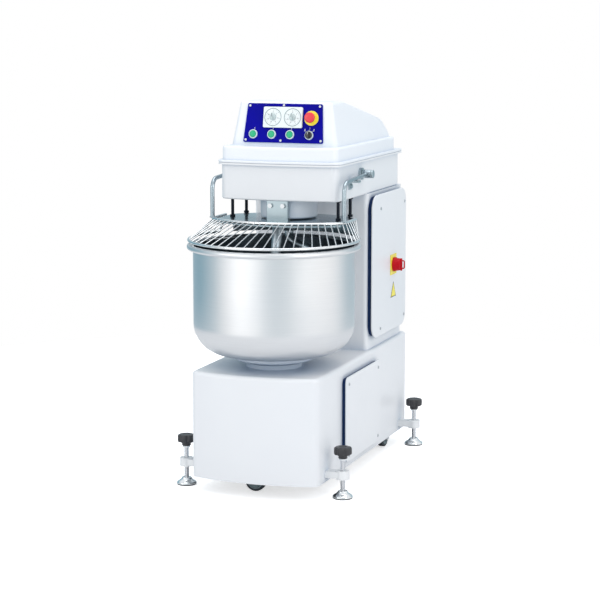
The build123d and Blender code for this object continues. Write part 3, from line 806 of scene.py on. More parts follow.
def bowed_front(half: float, tip: float, bow: float, corner: float,
                steps: int) -> list[tuple[float, float]]:
    """The right half of a bowed front edge with a rounded corner.

    Args:
        half: Half the edge's width.
        tip: Where the edge stands out furthest.
        bow: How far its middle stands out from its ends.
        corner: Radius of the corner.
        steps: Points along the bow.

    Returns:
        The points from the middle round the corner.
    """
    radius = (half ** 2 + bow ** 2) / (2 * bow)
    centre, reach = tip + radius, half - corner
    turn_y = centre - math.sqrt((radius - corner) ** 2 - reach ** 2)
    lean = math.degrees(math.atan2(turn_y - centre, reach))
    return (arc_points((0.0, centre), radius, -90.0, lean, steps)
            + arc_points((reach, turn_y), corner, lean, 0.0, 8)[1:])


# ------------------------------------------------------------------ bowl
@dataclass
class Bowl:
    """The mixing bowl: a spun shell with a rolled rim, on a painted turntable."""

    radius: float = 302.0
    wall: float = 3.0
    bottom: float = 508.0
    corner: float = 115.0
    rim_radius: float = 314.0
    rim_height: float = 910.0
    bead: float = 10.9
    steps: int = 192

    def profile(self) -> list[tuple[float, float]]:
        """The shell's cross-section.

        Returns:
            Radius and height from the outer bottom, over the rim, to the inner bottom.
        """
        centre = (self.radius - self.corner, self.bottom + self.corner)
        outer = arc_points(centre, self.corner, -90.0, 0.0, 18)
        inner = arc_points(centre, self.corner - self.wall, 0.0, -90.0, 18)
        bead = arc_points((self.rim_radius, self.rim_height), self.bead, -160.0, 165.0, 26)
        flare = [(self.radius, 800.0), (self.radius, 892.0), (self.radius + 0.4, 900.0)]
        inside = self.radius - self.wall
        return ([(2.0, self.bottom)] + outer + flare + bead
                + [(inside, self.rim_height + 1.0), (inside, 800.0)] + inner
                + [(60.0, self.bottom + self.wall), (2.0, self.bottom + self.wall)])

    def lining(self, shell: bpy.types.Object) -> None:
        """Gives the faces inside the bowl a duller, far darker steel: painted shade for the inside
        of the bowl.

        Args:
            shell: The finished shell.
        """
        shell.data.materials.append(BOWL_INSIDE_SHADE.material())
        reach = (self.radius - 1.0) * MM
        low = (self.bottom + 1.5) * MM
        for face in shell.data.polygons:
            x, y, z = face.center
            out = math.hypot(x - BOWL_CENTRE[0], y - BOWL_CENTRE[1])
            inward = face.normal.dot(Vector((BOWL_CENTRE[0] - x, BOWL_CENTRE[1] - y, 0.12)))
            if inward > 0 and out < reach and z > low:
                face.material_index = 1

    def build(self) -> None:
        """Builds the shell and dresses the turntable and drive under it."""
        centre = (BOWL_CENTRE[0] / MM, BOWL_CENTRE[1] / MM)
        shell = Form()
        shell.lathe(self.profile(), self.steps, centre)
        self.lining(shell.piece("bowl_shell", BOWL_STEEL, "bowl", "stainless", replaces=["bowl"]))
        dress(["bowl_flange", "collar"], PAINT)
        dress(["bowl_drive", "bowl_motor_pulley"], MACHINED)


# ------------------------------------------------------------------ feet
@dataclass
class Foot:
    """One levelling foot: threaded screw with a lobed knob, on a swivelling plated pad."""

    corner: str
    pitch: float = 4.0
    crest: float = 9.0
    root: float = 7.3
    knob_radius: float = 33.0
    grips: int = 6
    hollow: float = 5.2
    thread_steps: int = 20

    def thread(self, form: Form, bottom: float, top: float) -> None:
        """Cuts a trapezoidal thread.

        Args:
            form: The form to add to.
            bottom: The thread's lower end.
            top: Its upper end.
        """
        turns = (top - bottom) / self.pitch
        steps = int(turns * self.thread_steps)
        profile = ((0.0, self.root), (0.34, self.root), (0.5, self.crest), (0.84, self.crest))
        rings = []
        for i in range(steps + 1):
            a = math.tau * i / self.thread_steps
            rise = bottom + (turns - 1) * self.pitch * i / steps
            rings.append([(r * math.cos(a), r * math.sin(a), rise + share * self.pitch)
                          for share, r in profile + ((1.0, self.root),)])
        form.skin(rings, wrap=False, caps=False)
        form.lathe([(self.root, bottom), (self.root, top)], 24)

    def lobes(self, radius: float, angle: float) -> float:
        """The knob's outline at an angle: six grips with hollows between them."""
        hollow = max(0.0, math.cos(self.grips * angle)) ** 1.5
        return radius - self.hollow * hollow * (radius / self.knob_radius) ** 6

    def build(self) -> None:
        """Builds the screw, the knob and the pad."""
        screw_node, pad_node = f"foot_screw_{self.corner}", f"foot_pad_{self.corner}"
        at = middle(pad_node)
        place = Matrix.Translation((at.x, at.y, 0.0))
        screw = Form(place)
        screw.lathe([(8.0, 20.0), (12.6, 21.2), (13.0, 24.0), (12.2, 27.0), (8.4, 28.4)], 32)
        self.thread(screw, 28.0, 149.0)
        screw.piece(f"levelling_screw_{self.corner}", SCREW_STEEL, body_of(screw_node),
                    "knob_black", replaces=[screw_node])
        collar = Form(place)
        collar.lathe([(12.0, 143.0), (14.2, 144.0), (14.2, 149.0), (13.0, 150.0)], 40)
        collar.piece(f"knob_insert_{self.corner}", CHROME, body_of(screw_node), "knob_black")
        knob = Form(place)
        knob.lathe([(12.0, 150.0), (15.6, 150.0), (16.8, 151.6), (17.0, 163.0), (19.0, 164.6)],
                   48)
        knob.lathe([(17.0, 164.2), (30.5, 164.6), (32.4, 166.5), (33.0, 170.0), (33.0, 185.0),
                    (32.2, 189.5), (29.6, 192.2), (25.0, 193.4), (17.0, 193.9), (14.5, 193.9),
                    (14.0, 193.0), (13.6, 192.4), (3.0, 193.2)], 96, wave=self.lobes)
        knob.piece(f"levelling_knob_{self.corner}", KNOB_BLACK, body_of(screw_node),
                   "knob_black")
        pad = Form(place)
        pad.lathe([(37.2, 4.2), (37.9, 5.5), (37.5, 8.0), (36.0, 10.4), (32.0, 13.4), (26.0, 17.2),
                   (21.5, 20.6), (19.0, 24.6), (18.2, 27.2), (17.2, 28.0), (14.4, 28.0),
                   (13.6, 27.2), (13.3, 20.4), (12.0, 20.0)], 64)
        pad.piece(f"levelling_pad_{self.corner}", CHROME, body_of(pad_node), "pad_chrome",
                  replaces=[pad_node])
        sole = Form(place)
        sole.lathe([(35.6, 0.0), (36.6, 0.8), (36.8, 4.4), (36.0, 5.0)], 64)
        sole.piece(f"pad_sole_{self.corner}", TYRE, body_of(pad_node), "pad_chrome")


# ------------------------------------------------------------------ head cover
@dataclass(frozen=True)
class Column:
    """A column of points on the crown: on an edge, or on the corner at the edge's end."""

    edge: int
    share: float
    angle: float | None = None


@dataclass
class Cover:
    """The moulded head cover: a bowed lip and skirt under a tapered crown that falls away."""

    skirt_top: float = 1274.0
    edge_steps: tuple[int, int] = (24, 56)
    roof_steps: int = 30
    crown_half: float = 214.0
    crown_front: float = -194.5
    crown_rear: float = 492.5
    crown_low: float = 1262.0
    corner: float = 26.0
    taper: float = 10.0
    rim: float = 12.0
    rim_run: float = 0.839
    rim_clear: float = 4.0
    corner_shrink: float = 0.42
    corner_least: float = 9.0
    crown_power: float = 1.6
    roof_line: tuple[tuple[float, float], ...] = (
        (-300.0, 1437.9), (-29.5, 1437.9), (398.5, 1352.0), (470.5, 1296.0), (484.5, 1252.0),
        (600.0, 1252.0))

    def bowed(self, half: float, front: float, bow: float, rear: float, front_corner: float,
              rear_corner: float) -> list[tuple[float, float]]:
        """An outline with a bowed front edge, anticlockwise.

        Args:
            half: Half its width.
            front: Where the front corners would meet the sides.
            bow: How far the middle of the front edge stands out.
            rear: Its rear edge.
            front_corner: Radius of the front corners.
            rear_corner: Radius of the rear corners.

        Returns:
            The outline's points.
        """
        right = bowed_front(half, front - bow, bow, front_corner, 16)
        right += arc_points((half - rear_corner, rear - rear_corner), rear_corner, 0.0, 90.0, 8)
        return right + [(-x, y) for x, y in reversed(right[1:])]

    def roof(self, y: float) -> float:
        """Height of the crown's roof, with its kinks eased.

        Args:
            y: The point along the machine.

        Returns:
            The height there.
        """
        total = 0.0
        for step in range(-6, 7):
            at = y + step * 3.0
            for (y0, z0), (y1, z1) in zip(self.roof_line, self.roof_line[1:]):
                if y0 <= at <= y1:
                    total += z0 + (z1 - z0) * (at - y0) / (y1 - y0)
                    break
        return max(self.crown_low + 3.0, total / 13.0)

    def columns(self) -> list[Column]:
        """Sets the columns out round the crown.

        Returns:
            The columns, anticlockwise from the front left corner.
        """
        found = []
        for edge in range(4):
            steps = self.edge_steps[edge % 2]
            found += [Column(edge, 2.0 * i / steps - 1.0) for i in range(1, steps)]
            found += [Column(edge, 1.0, 90.0 * i / 8) for i in range(9)]
        return found

    def at(self, column: Column, inset: float) -> tuple[float, float]:
        """Where a column stands at an inset from the crown's foot.

        Args:
            column: The column.
            inset: The inset.

        Returns:
            X and Y.
        """
        half = self.crown_half - inset
        front, rear = self.crown_front + inset, self.crown_rear - inset
        corner = min(max(self.corner - self.corner_shrink * inset, self.corner_least), half)
        edge, share = column.edge, column.share
        if column.angle is not None:
            a = math.radians(column.angle + 90.0 * (edge - 1))
            cx = (half - corner) * (1.0 if edge < 2 else -1.0)
            cy = front + corner if edge in (0, 3) else rear - corner
            return (cx + corner * math.cos(a), cy + corner * math.sin(a))
        span = share * (half - corner)
        level = (front + rear) / 2 + (-share if edge == 3 else share) * (
            (rear - front) / 2 - corner)
        return ((span, front), (half, level), (-span, rear), (-half, level))[edge]

    def line(self, column: Column) -> list[tuple[float, float]]:
        """Inset and height of every point of one column.

        Args:
            column: The column.

        Returns:
            The tapered wall, the eased rim and the roof up to the middle line.
        """
        slant = math.radians(self.taper)
        sin, cos, lean = math.sin(slant), math.cos(slant), math.tan(slant)
        top = 0.0
        for _ in range(30):
            top = max(0.0, (self.roof(self.at(column, top)[1]) - self.crown_low) * lean)
        crest = self.roof(self.at(column, top)[1])
        ease = min(self.rim, max(0.0, (crest - self.skirt_top - self.rim_clear) * 0.5))
        run = self.rim_run * ease
        foot = max(0.0, top - run * sin)
        found = [(foot * i / 8, self.crown_low + foot * i / 8 / lean) for i in range(8)]
        for i in range(9):
            a = math.radians((90.0 - self.taper) * i / 8)
            along, across = ease * math.sin(a), ease * (1.0 - math.cos(a))
            found.append((foot + along * sin + across * cos,
                          crest - run * cos + along * cos - across * sin))
        start = found[-1][0]
        for i in range(1, self.roof_steps + 1):
            inset = start + (self.crown_half - start) * (i / self.roof_steps) ** self.crown_power
            found.append((inset, self.roof(self.at(column, inset)[1])))
        return found

    def crown(self) -> Form:
        """Skins the crown from its columns.

        Returns:
            The crown's form.
        """
        columns = self.columns()
        rings = []
        for level in zip(*(self.line(column) for column in columns)):
            ring = []
            for column, (inset, z) in zip(columns, level):
                x, y = self.at(column, inset)
                ring.append((x, y, min(z, self.roof(y))))
            rings.append(ring)
        form = Form()
        form.skin(rings, caps=False)
        form.faces.append(tuple(reversed(range(len(columns)))))
        form.weld()
        return form

    def build(self) -> None:
        """Builds the lip, the skirt and the crown."""
        self.crown().piece("cover_crown", COVER, "chassis", "cover_white")
        skirt = Form()
        skirt.slab(self.bowed(231.0, -242.5, 22.0, 489.5, 30.0, 22.0),
                   [(0.0, 1219.0), (0.0, 1265.0), (0.7, 1268.4), (2.6, 1271.3), (5.6, 1273.3),
                    (9.0, self.skirt_top)])
        skirt.slab(self.bowed(245.0, -253.5, 22.0, 554.5, 34.0, 24.0),
                   [(0.8, 1213.0), (0.2, 1213.6), (0.0, 1214.6), (0.0, 1220.2),
                    (0.5, 1221.5), (1.8, 1222.0)])
        skirt.piece("cover_skirt", COVER, "chassis", "cover_white", replaces=["head_cover"])


# ------------------------------------------------------------------ control panel
@dataclass
class ControlPanel:
    """The sloping panel with its timers, push buttons, stop button and selector."""

    lean: float = 10.0
    origin: Point = (0.0, -177.16, 1361.0)
    foil: float = 4.0
    dials: tuple[tuple[float, float], ...] = ((-43.0, 19.0), (35.0, 19.0))
    starts: tuple[tuple[float, float], ...] = ((-121.0, -45.0), (-47.0, -45.0), (26.0, -45.0))
    stop: tuple[float, float] = (108.0, 18.0)
    selector: tuple[float, float] = (102.0, -46.0)
    dial_face: float = 12.0
    minutes: int = 30
    minutes_per_figure: int = 5
    sweep: float = 300.0
    tick_inner: tuple[float, float] = (25.5, 23.5)
    tick_width: tuple[float, float] = (0.5, 0.9)
    tick_outer: float = 28.5
    figure_ring: float = 19.5
    figure_step: float = 2.9
    figure_size: float = 3.6

    def place(self, at: tuple[float, float] = (0.0, 0.0)) -> Matrix:
        """A placement on the panel, with its Z standing out of the foil.

        Args:
            at: Where on the panel.

        Returns:
            The placement.
        """
        a = math.radians(self.lean)
        across, up = Vector((1, 0, 0)), Vector((0, math.sin(a), math.cos(a)))
        out = Vector((0, -math.cos(a), math.sin(a)))
        turn = Matrix((across, up, out)).transposed().to_4x4()
        spot = Vector(self.origin) + across * at[0] + up * at[1]
        return Matrix.Translation(spot) @ turn

    def stroke(self, form: Form, a: tuple[float, float], b: tuple[float, float], width: float,
               height: float, thick: float = 0.12) -> None:
        """Prints one straight line.

        Args:
            form: The form to add to.
            a: One end.
            b: The other end.
            width: The line's width.
            height: Height of the face it is printed on.
            thick: How thick the print is.
        """
        run = Vector((b[0] - a[0], b[1] - a[1])).normalized()
        side = Vector((-run.y, run.x)) * width / 2
        outline = [(a[0] - side.x, a[1] - side.y), (b[0] - side.x, b[1] - side.y),
                   (b[0] + side.x, b[1] + side.y), (a[0] + side.x, a[1] + side.y)]
        form.slab(outline, [(0.0, height), (0.0, height + thick)])

    def digit(self, form: Form, figure: str, at: tuple[float, float], size: float,
              height: float) -> None:
        """Prints one seven-stroke figure.

        Args:
            form: The form to add to.
            figure: The figure, 0 to 9.
            at: Its middle.
            size: Its height.
            height: Height of the face it is printed on.
        """
        strokes = {"0": "abcdef", "1": "bc", "2": "abged", "3": "abgcd", "4": "fgbc",
                   "5": "afgcd", "6": "afgedc", "7": "abc", "8": "abcdefg", "9": "abcdfg"}
        w, h = size * 0.28, size * 0.5
        ends = {"a": ((-w, h), (w, h)), "b": ((w, h), (w, 0)), "c": ((w, 0), (w, -h)),
                "d": ((-w, -h), (w, -h)), "e": ((-w, 0), (-w, -h)), "f": ((-w, h), (-w, 0)),
                "g": ((-w, 0), (w, 0))}
        for mark in strokes[figure]:
            (x1, y1), (x2, y2) = ends[mark]
            self.stroke(form, (at[0] + x1, at[1] + y1), (at[0] + x2, at[1] + y2), size * 0.14,
                        height)

    def dial_faces(self) -> None:
        """Prints the minute scales and stands a raised ring round each dial."""
        ticks, figures, rings = Form(self.place()), Form(self.place()), Form(self.place())
        for cx, cy in self.dials:
            for i in range(self.minutes + 1):
                a = math.radians(90.0 - self.sweep * i / self.minutes)
                long = i % self.minutes_per_figure == 0
                c, s = math.cos(a), math.sin(a)
                inner = self.tick_inner[long]
                self.stroke(ticks, (cx + inner * c, cy + inner * s),
                            (cx + self.tick_outer * c, cy + self.tick_outer * s),
                            self.tick_width[long], self.dial_face)
                if not long:
                    continue
                text = str(i)
                for k, figure in enumerate(text):
                    shift = (k - (len(text) - 1) / 2) * self.figure_step
                    at = (cx + self.figure_ring * c + shift, cy + self.figure_ring * s)
                    self.digit(figures, figure, at, self.figure_size, self.dial_face)
            rings.lathe([(31.2, 11.9), (31.2, 12.5), (31.9, 12.9), (33.4, 12.7), (34.0, 11.9)],
                        72, (cx, cy), loop=True)
        ticks.piece("timer_ticks", PRINT_GREY, "chassis", "dial_white", Shade.CRISP)
        figures.piece("timer_figures", PRINT_DARK, "chassis", "dial_white", Shade.CRISP)
        # The rings' grey is painted shadow round each dial.
        rings.piece("timer_rings", RING_SHADE_GREY, "chassis", "module_white")

    def timer_knobs(self) -> None:
        """Shapes both timer knobs: a fluted skirt, a winged grip and a pointer line."""
        for name, (cx, cy) in zip(("left", "right"), self.dials):
            node = f"timer_knob_{name}"
            knob = Form(self.place((cx, cy)))
            knob.lathe([(3.0, -18.0), (3.0, 12.8)], 16)
            knob.lathe([(12.2, 12.8), (13.0, 13.4), (12.4, 15.4), (9.6, 19.0), (8.0, 20.0)], 72,
                       wave=lambda r, a: r - 0.35 * (1 + math.cos(24 * a)) * (r > 11.0))
            outline = [(-2.6, -11), (2.6, -11), (3.2, -4), (3.2, 8), (1.4, 15), (-1.4, 15),
                       (-3.2, 8), (-3.2, -4)]
            knob.slab(outline, [(0.0, 19.4), (0.0, 26.6), (0.5, 27.9), (1.2, 28.4)])
            body = body_of(node)
            knob.piece(f"timer_grip_{name}", KNOB_GREY, body, "knob_grey", replaces=[node])
            line = Form(self.place((cx, cy)))
            self.stroke(line, (0.0, 0.0), (0.0, 13.4), 1.6, 28.35, 0.13)
            line.piece(f"timer_pointer_{name}", PRINT_DARK, body, "knob_grey", Shade.CRISP)

    def start_buttons(self) -> None:
        """Shapes the three domed start buttons and their stepped bezels."""
        for name, (cx, cy) in zip(("left", "middle", "right"), self.starts):
            node = f"start_button_{name}"
            cap = Form(self.place((cx, cy)))
            cap.lathe([(5.0, -21.5), (5.0, 0.8), (12.2, 1.0), (12.6, 1.6), (12.6, 9.4),
                       (12.0, 10.6), (10.4, 11.2), (9.0, 11.0), (6.0, 11.35), (2.0, 11.5)], 64)
            cap.piece(f"start_cap_{name}", GREEN, body_of(node), "button_green", replaces=[node])
            bezel = Form(self.place((cx, cy)))
            bezel.lathe([(13.3, 4.0), (17.3, 4.0), (17.4, 5.0), (17.0, 7.0), (16.0, 9.2),
                         (15.0, 9.95), (13.9, 9.9), (13.3, 9.2)], 72, loop=True)
            bezel.piece(f"start_bezel_{name}", BEZEL, "chassis", "bezel_light")
        collar = Form(self.place(self.selector))
        collar.lathe([(8.2, 4.0), (17.0, 4.0), (17.0, 6.6), (16.0, 7.9), (14.4, 8.0), (8.2, 8.0)],
                     64, loop=True)
        collar.piece("selector_ring", BEZEL, "chassis", "bezel_light", replaces=["control_bezels"])

    def stop_switch(self) -> None:
        """Shapes the mushroom stop button and its yellow disc."""
        head = Form(self.place(self.stop))
        head.lathe([(8.8, -18.0), (8.8, 20.4), (13.0, 21.0), (18.6, 21.4), (19.8, 23.0),
                    (20.0, 27.0), (19.4, 30.6), (17.2, 33.4), (13.0, 34.6), (6.0, 35.0),
                    (1.5, 35.0)], 96)
        head.piece("stop_mushroom", RED, body_of("stop_button"), "stop_red",
                   replaces=["stop_button"])
        disc = Form(self.place(self.stop))
        disc.lathe([(9.2, 4.0), (27.6, 4.0), (28.0, 4.6), (27.8, 6.2), (27.0, 7.0), (17.6, 7.0),
                    (15.4, 7.6), (15.0, 9.0), (15.0, 14.4), (14.4, 15.0), (9.2, 15.0)], 80,
                   loop=True)
        disc.piece("stop_disc", YELLOW, "chassis", "stop_yellow", replaces=["stop_base"])

    def selector_switch(self) -> None:
        """Shapes the selector knob and prints its plain index marks."""
        body = body_of("selector_knob")
        knob = Form(self.place(self.selector))
        knob.lathe([(7.8, -16.0), (7.8, 8.6), (12.8, 8.7), (13.4, 9.4), (13.4, 13.4),
                    (12.6, 14.8), (10.0, 15.0)], 64)
        knob.rounded(8.0, 26.0, 2.0, (0.0, 0.0),
                     [(0.0, 14.6), (0.0, 23.4), (0.5, 24.5), (1.4, 25.0)])
        knob.piece("selector_grip", KNOB_BLACK, body, "knob_black", replaces=["selector_knob"])
        line = Form(self.place(self.selector))
        self.stroke(line, (0.0, 1.0), (0.0, 11.2), 2.4, 24.9, 0.1)
        line.piece("selector_pointer", PRINT_WHITE, body, "knob_black", Shade.CRISP)
        marks = Form(self.place())
        cx, cy = self.selector
        for figure, turn in (("0", 42.0), ("1", 0.0), ("2", -42.0)):
            a = math.radians(90.0 + turn)
            c, s = math.cos(a), math.sin(a)
            self.stroke(marks, (cx + 18.6 * c, cy + 18.6 * s), (cx + 21.0 * c, cy + 21.0 * s),
                        1.2, self.foil)
            self.digit(marks, figure, (cx + 26.5 * c, cy + 26.0 * s), 7.0, self.foil)
        for cx, cy in self.starts:
            self.stroke(marks, (cx + 5.0, cy + 19.5), (cx + 5.0, cy + 24.5), 1.6, self.foil)
        marks.piece("panel_marks", PRINT_WHITE, "chassis", "bezel_light", Shade.CRISP)

    def build(self) -> None:
        """Dresses the foil and the module, and shapes everything on them."""
        dress(["control_panel"], PANEL_FOIL)
        dress(["timer_module"], MODULE_WHITE)
        dress(["timer_dials"], DIAL_WHITE)
        self.dial_faces()
        self.timer_knobs()
        self.start_buttons()
        self.stop_switch()
        self.selector_switch()


# ------------------------------------------------------------------ isolator
@dataclass
class Isolator:
    """The rotary mains isolator on the cabinet door and the plain yellow triangle under it."""

    face: float = 256.0
    side: float = 82.0
    triangle: float = 72.0
    triangle_drop: float = 112.0

    def place(self, up: float = 0.0, along: float = 0.0) -> Matrix:
        """A placement off the switch's axis, with its Z standing out of the door."""
        axis = middle("isolator_handle")
        return Matrix.Translation((0.0, axis.y + along, axis.z + up)) @ FACING_X

    def plate(self) -> None:
        """Shapes the square plate, its dark back edge and the triangle label."""
        plate = Form(self.place())
        plate.rounded(self.side, self.side, 4.0, (0.0, 0.0),
                      [(0.0, self.face + 0.7), (0.0, self.face + 1.5), (0.5, self.face + 2.0)])
        plate.lathe([(30.6, 257.8), (31.4, 258.2), (31.2, 258.6), (29.8, 258.7), (7.4, 258.7)],
                    64)
        plate.piece("isolator_escutcheon", ISOLATOR_YELLOW, "chassis", "isolator_yellow",
                    replaces=["isolator_plate"])
        back = Form(self.place())
        back.rounded(self.side, self.side, 4.0, (0.0, 0.0),
                     [(0.4, self.face - 0.2), (0.0, self.face + 0.1), (0.0, self.face + 0.7)])
        back.lathe([(18.0, 240.0), (20.0, 240.5), (20.0, 255.9)], 40)
        back.piece("isolator_back", KNOB_BLACK, "chassis", "isolator_yellow")
        label = self.place(-self.triangle_drop, 4.0)
        s = self.triangle / 2
        rise = s * math.sqrt(3) / 3
        corners = [(-s, -rise), (s, -rise), (0.0, 2 * rise)]
        border, plain = Form(label), Form(label)
        border.slab(corners, [(0.0, self.face - 0.1), (0.0, self.face + 0.5)])
        border.piece("triangle_border", PRINT_DARK, "chassis", "isolator_yellow", Shade.CRISP)
        plain.slab(corners, [(3.2, self.face + 0.4), (3.2, self.face + 0.9)])
        plain.piece("triangle_field", ISOLATOR_YELLOW, "chassis", "isolator_yellow", Shade.CRISP)

    def handle(self) -> None:
        """Shapes the fluted knob, its grip bar and the padlock loop at its end."""
        body = body_of("isolator_handle")
        knob = Form(self.place())
        knob.lathe([(6.8, 237.0), (6.8, 258.8), (28.4, 258.9), (29.0, 259.8), (29.0, 266.0),
                    (27.4, 270.4), (25.4, 274.0), (24.4, 285.0), (22.8, 288.2), (19.0, 289.6),
                    (6.0, 290.0)], 72,
                   wave=lambda r, a: r - 0.45 * (1 + math.cos(20 * a)) * (r > 24.0))
        knob.rounded(9.0, 50.0, 3.0, (0.0, 0.0),
                     [(0.0, 288.0), (0.0, 292.6), (0.6, 293.8), (1.8, 294.4)])
        half_loop = ((15.0, 291.0), (15.0, 300.5), (12.5, 303.2))
        loop = [(0.0, -y, z) for y, z in half_loop]
        loop += [(0.0, y, z) for y, z in reversed(half_loop)]
        knob.sweep(loop, 2.8, 14)
        knob.piece("isolator_grip", ISOLATOR_RED, body, "stop_red", replaces=["isolator_handle"])
        mark = Form(self.place())
        mark.slab([(-1.0, 16.5), (1.0, 16.5), (1.0, 23.4), (-1.0, 23.4)],
                  [(0.0, 294.2), (0.0, 294.6)])
        mark.piece("isolator_pointer", PRINT_WHITE, body, "stop_red", Shade.CRISP)

    def build(self) -> None:
        """Shapes the plate, label and handle."""
        self.plate()
        self.handle()


# ------------------------------------------------------------------ wire guard
@dataclass
class Guard:
    """The hinged guard: a bowed top rod, a ring over the rim and welded wires between."""

    half: float = 262.0
    back: float = 175.0
    front: float = -75.0
    sag: float = 110.0
    fillet: float = 40.0
    top: float = 1000.0
    top_rod: float = 6.0
    ring_radius: float = 318.0
    ring_back: float = 150.0
    ring_height: float = 935.0
    ring_rod: float = 5.0
    wires: int = 36
    wire: float = 2.3
    arm: float = 8.0
    arm_y: float = 38.0
    arm_top: float = 1148.0
    arm_bend: float = 40.0
    pivot: tuple[float, float] = (315.0, 1160.0)

    def top_path(self) -> list[Vector]:
        """Lays out the top rod.

        Returns:
            Points along it, from its rear left end to its rear right end.
        """
        right = bowed_front(self.half, self.front, self.sag, self.fillet, 20)
        turn_y, steps = right[-1][1], 10
        right += [(self.half, turn_y + (self.back - turn_y) * i / steps)
                  for i in range(1, steps + 1)]
        left = [(-x, y) for x, y in reversed(right[1:])]
        return [Vector((x, y, self.top)) for x, y in left + right]

    def ring_path(self) -> list[Vector]:
        """Lays out the lower ring.

        Returns:
            Points along it, from its rear left end to its rear right end.
        """
        end = math.degrees(math.asin(self.ring_back / self.ring_radius))
        arc = arc_points((0.0, 0.0), self.ring_radius, -180.0 - end, end, 120)
        return [Vector((x, y, self.ring_height)) for x, y in arc]

    def at_share(self, path: Sequence[Vector], share: float) -> Vector:
        """The point a share of the way along a path.

        Args:
            path: The path's points.
            share: The share of its length, 0 to 1.

        Returns:
            That point.
        """
        runs = [(b - a).length for a, b in zip(path, path[1:])]
        left = share * sum(runs)
        for start, end, run in zip(path, path[1:], runs):
            if left <= run:
                return start.lerp(end, left / run)
            left -= run
        return path[-1].copy()

    def bead(self, form: Form, at: Vector, along: Vector, size: float) -> None:
        """Lays one small weld bead.

        Args:
            form: The form to add to.
            at: Its middle.
            along: The direction it is drawn out in.
            size: Its radius.
        """
        line = along.normalized() * size
        steps = (-1.0, -0.75, -0.3, 0.3, 0.75, 1.0)
        run = [at + line * 1.5 * t for t in steps]
        side = along.normalized().orthogonal()
        other = along.normalized().cross(side)
        rings = []
        for point, t in zip(run, steps):
            width = size * math.sqrt(max(0.04, 1.0 - t * t))
            rings.append([point + (side * math.cos(a) + other * math.sin(a)) * width
                          for a in (math.tau * i / 8 for i in range(8))])
        form.skin(rings)

    def arms(self) -> None:
        """Bends the two arms that carry the guard and turns the hubs they hang on."""
        slope = (self.pivot[1] - self.arm_top) / (self.pivot[0] - self.arm_y)
        lean = math.atan(slope)
        reach = self.arm_bend * math.tan((math.pi / 2 - lean) / 2)
        centre = (self.arm_y + self.arm_bend, self.arm_top - reach)
        bend = arc_points(centre, self.arm_bend, 180.0, 90.0 + math.degrees(lean), 14)
        end_y = self.pivot[0] - 14.0
        end_z = self.arm_top + slope * (end_y - self.arm_y)
        form = Form(Matrix.Translation((0.0, BOWL_CENTRE[1] / MM, 0.0)))
        for side in (-1.0, 1.0):
            x = side * self.half
            path = [(x, self.arm_y, self.top + 2.0), (x, self.arm_y, self.top + 40.0)]
            path += [(x, y, z) for y, z in bend] + [(x, end_y, end_z)]
            form.sweep(path, self.arm, 20)
            hub = Form(Matrix.Translation((0.0, BOWL_CENTRE[1] / MM + self.pivot[0],
                                           self.pivot[1])) @ FACING_X)
            low, high = sorted((side * 250.0, side * 280.0))
            hub.lathe([(10.6, low + 0.4), (14.8, low), (16.0, low + 1.2), (16.0, high - 1.2),
                       (14.8, high), (10.6, high - 0.4)], 48, loop=True)
            form.take(hub)
            foot = Vector((x, self.arm_y, self.top + 5.0))
            for i in range(10):
                a = math.tau * i / 10
                around = Vector((math.cos(a), math.sin(a), 0.0))
                self.bead(form, foot + around * self.arm, Vector((-around.y, around.x, 0.25)),
                          2.6)
        form.piece("guard_arm_bends", ARM_STEEL, "guard", "wire_steel", replaces=["guard_arms"])

    def build(self) -> None:
        """Bends the rod and ring, welds the wires in and shapes the arms."""
        shift = Vector((BOWL_CENTRE[0] / MM, BOWL_CENTRE[1] / MM, 0.0))
        top, ring = self.top_path(), self.ring_path()
        frame_form = Form(Matrix.Translation(shift))
        frame_form.sweep(top, self.top_rod, 16)
        frame_form.sweep(ring, self.ring_rod, 16)
        wires, beads = Form(Matrix.Translation(shift)), Form(Matrix.Translation(shift))
        for i in range(self.wires + 1):
            share = i / self.wires
            low, high = self.at_share(ring, share), self.at_share(top, share)
            ends = i in (0, self.wires)
            line = (high - low).normalized()
            wires.sweep([low, low + line * 12.0, high - line * 12.0, high],
                        self.ring_rod if ends else self.wire, 10)
            for at, way, path in ((low, 1.0, ring), (high, -1.0, top)):
                ahead = self.at_share(path, min(1.0, share + 0.004))
                behind = self.at_share(path, max(0.0, share - 0.004))
                self.bead(beads, at + line * way * 5.2, ahead - behind, 2.9)
        frame_form.piece("guard_rods", WIRE, "guard", "wire_steel", replaces=["guard_cage"])
        wires.piece("guard_wires", WIRE, "guard", "wire_steel")
        beads.piece("guard_welds", ZINC, "guard", "wire_steel")
        self.arms()
        dress(["guard_brackets"], BLOCK_STEEL)


@dataclass
class Tools:
    """The spiral hook, the breaker bar, the lid over the bowl and its rods."""

    def build(self) -> None:
        """Dresses them."""
        dress(["spiral_hook", "breaker_bar"], HOOK_STEEL)
        dress(["breaker_block"], BLOCK_STEEL)
        dress(["breaker_bolts"], ZINC)
        # The lid's darker teal steel carries painted shade.
        dress(["lid_plate"], LID_STEEL_SHADED)
        dress(["lid_rods"], OXIDE)
        dress(["spiral_housing"], PAINT)
        dress(["spiral_drive", "spiral_motor_pulley", "drive_bearings"], MACHINED)
        dress(["drive_motors"], MOTOR_PAINT)
        dress(["drive_belts"], BELT)


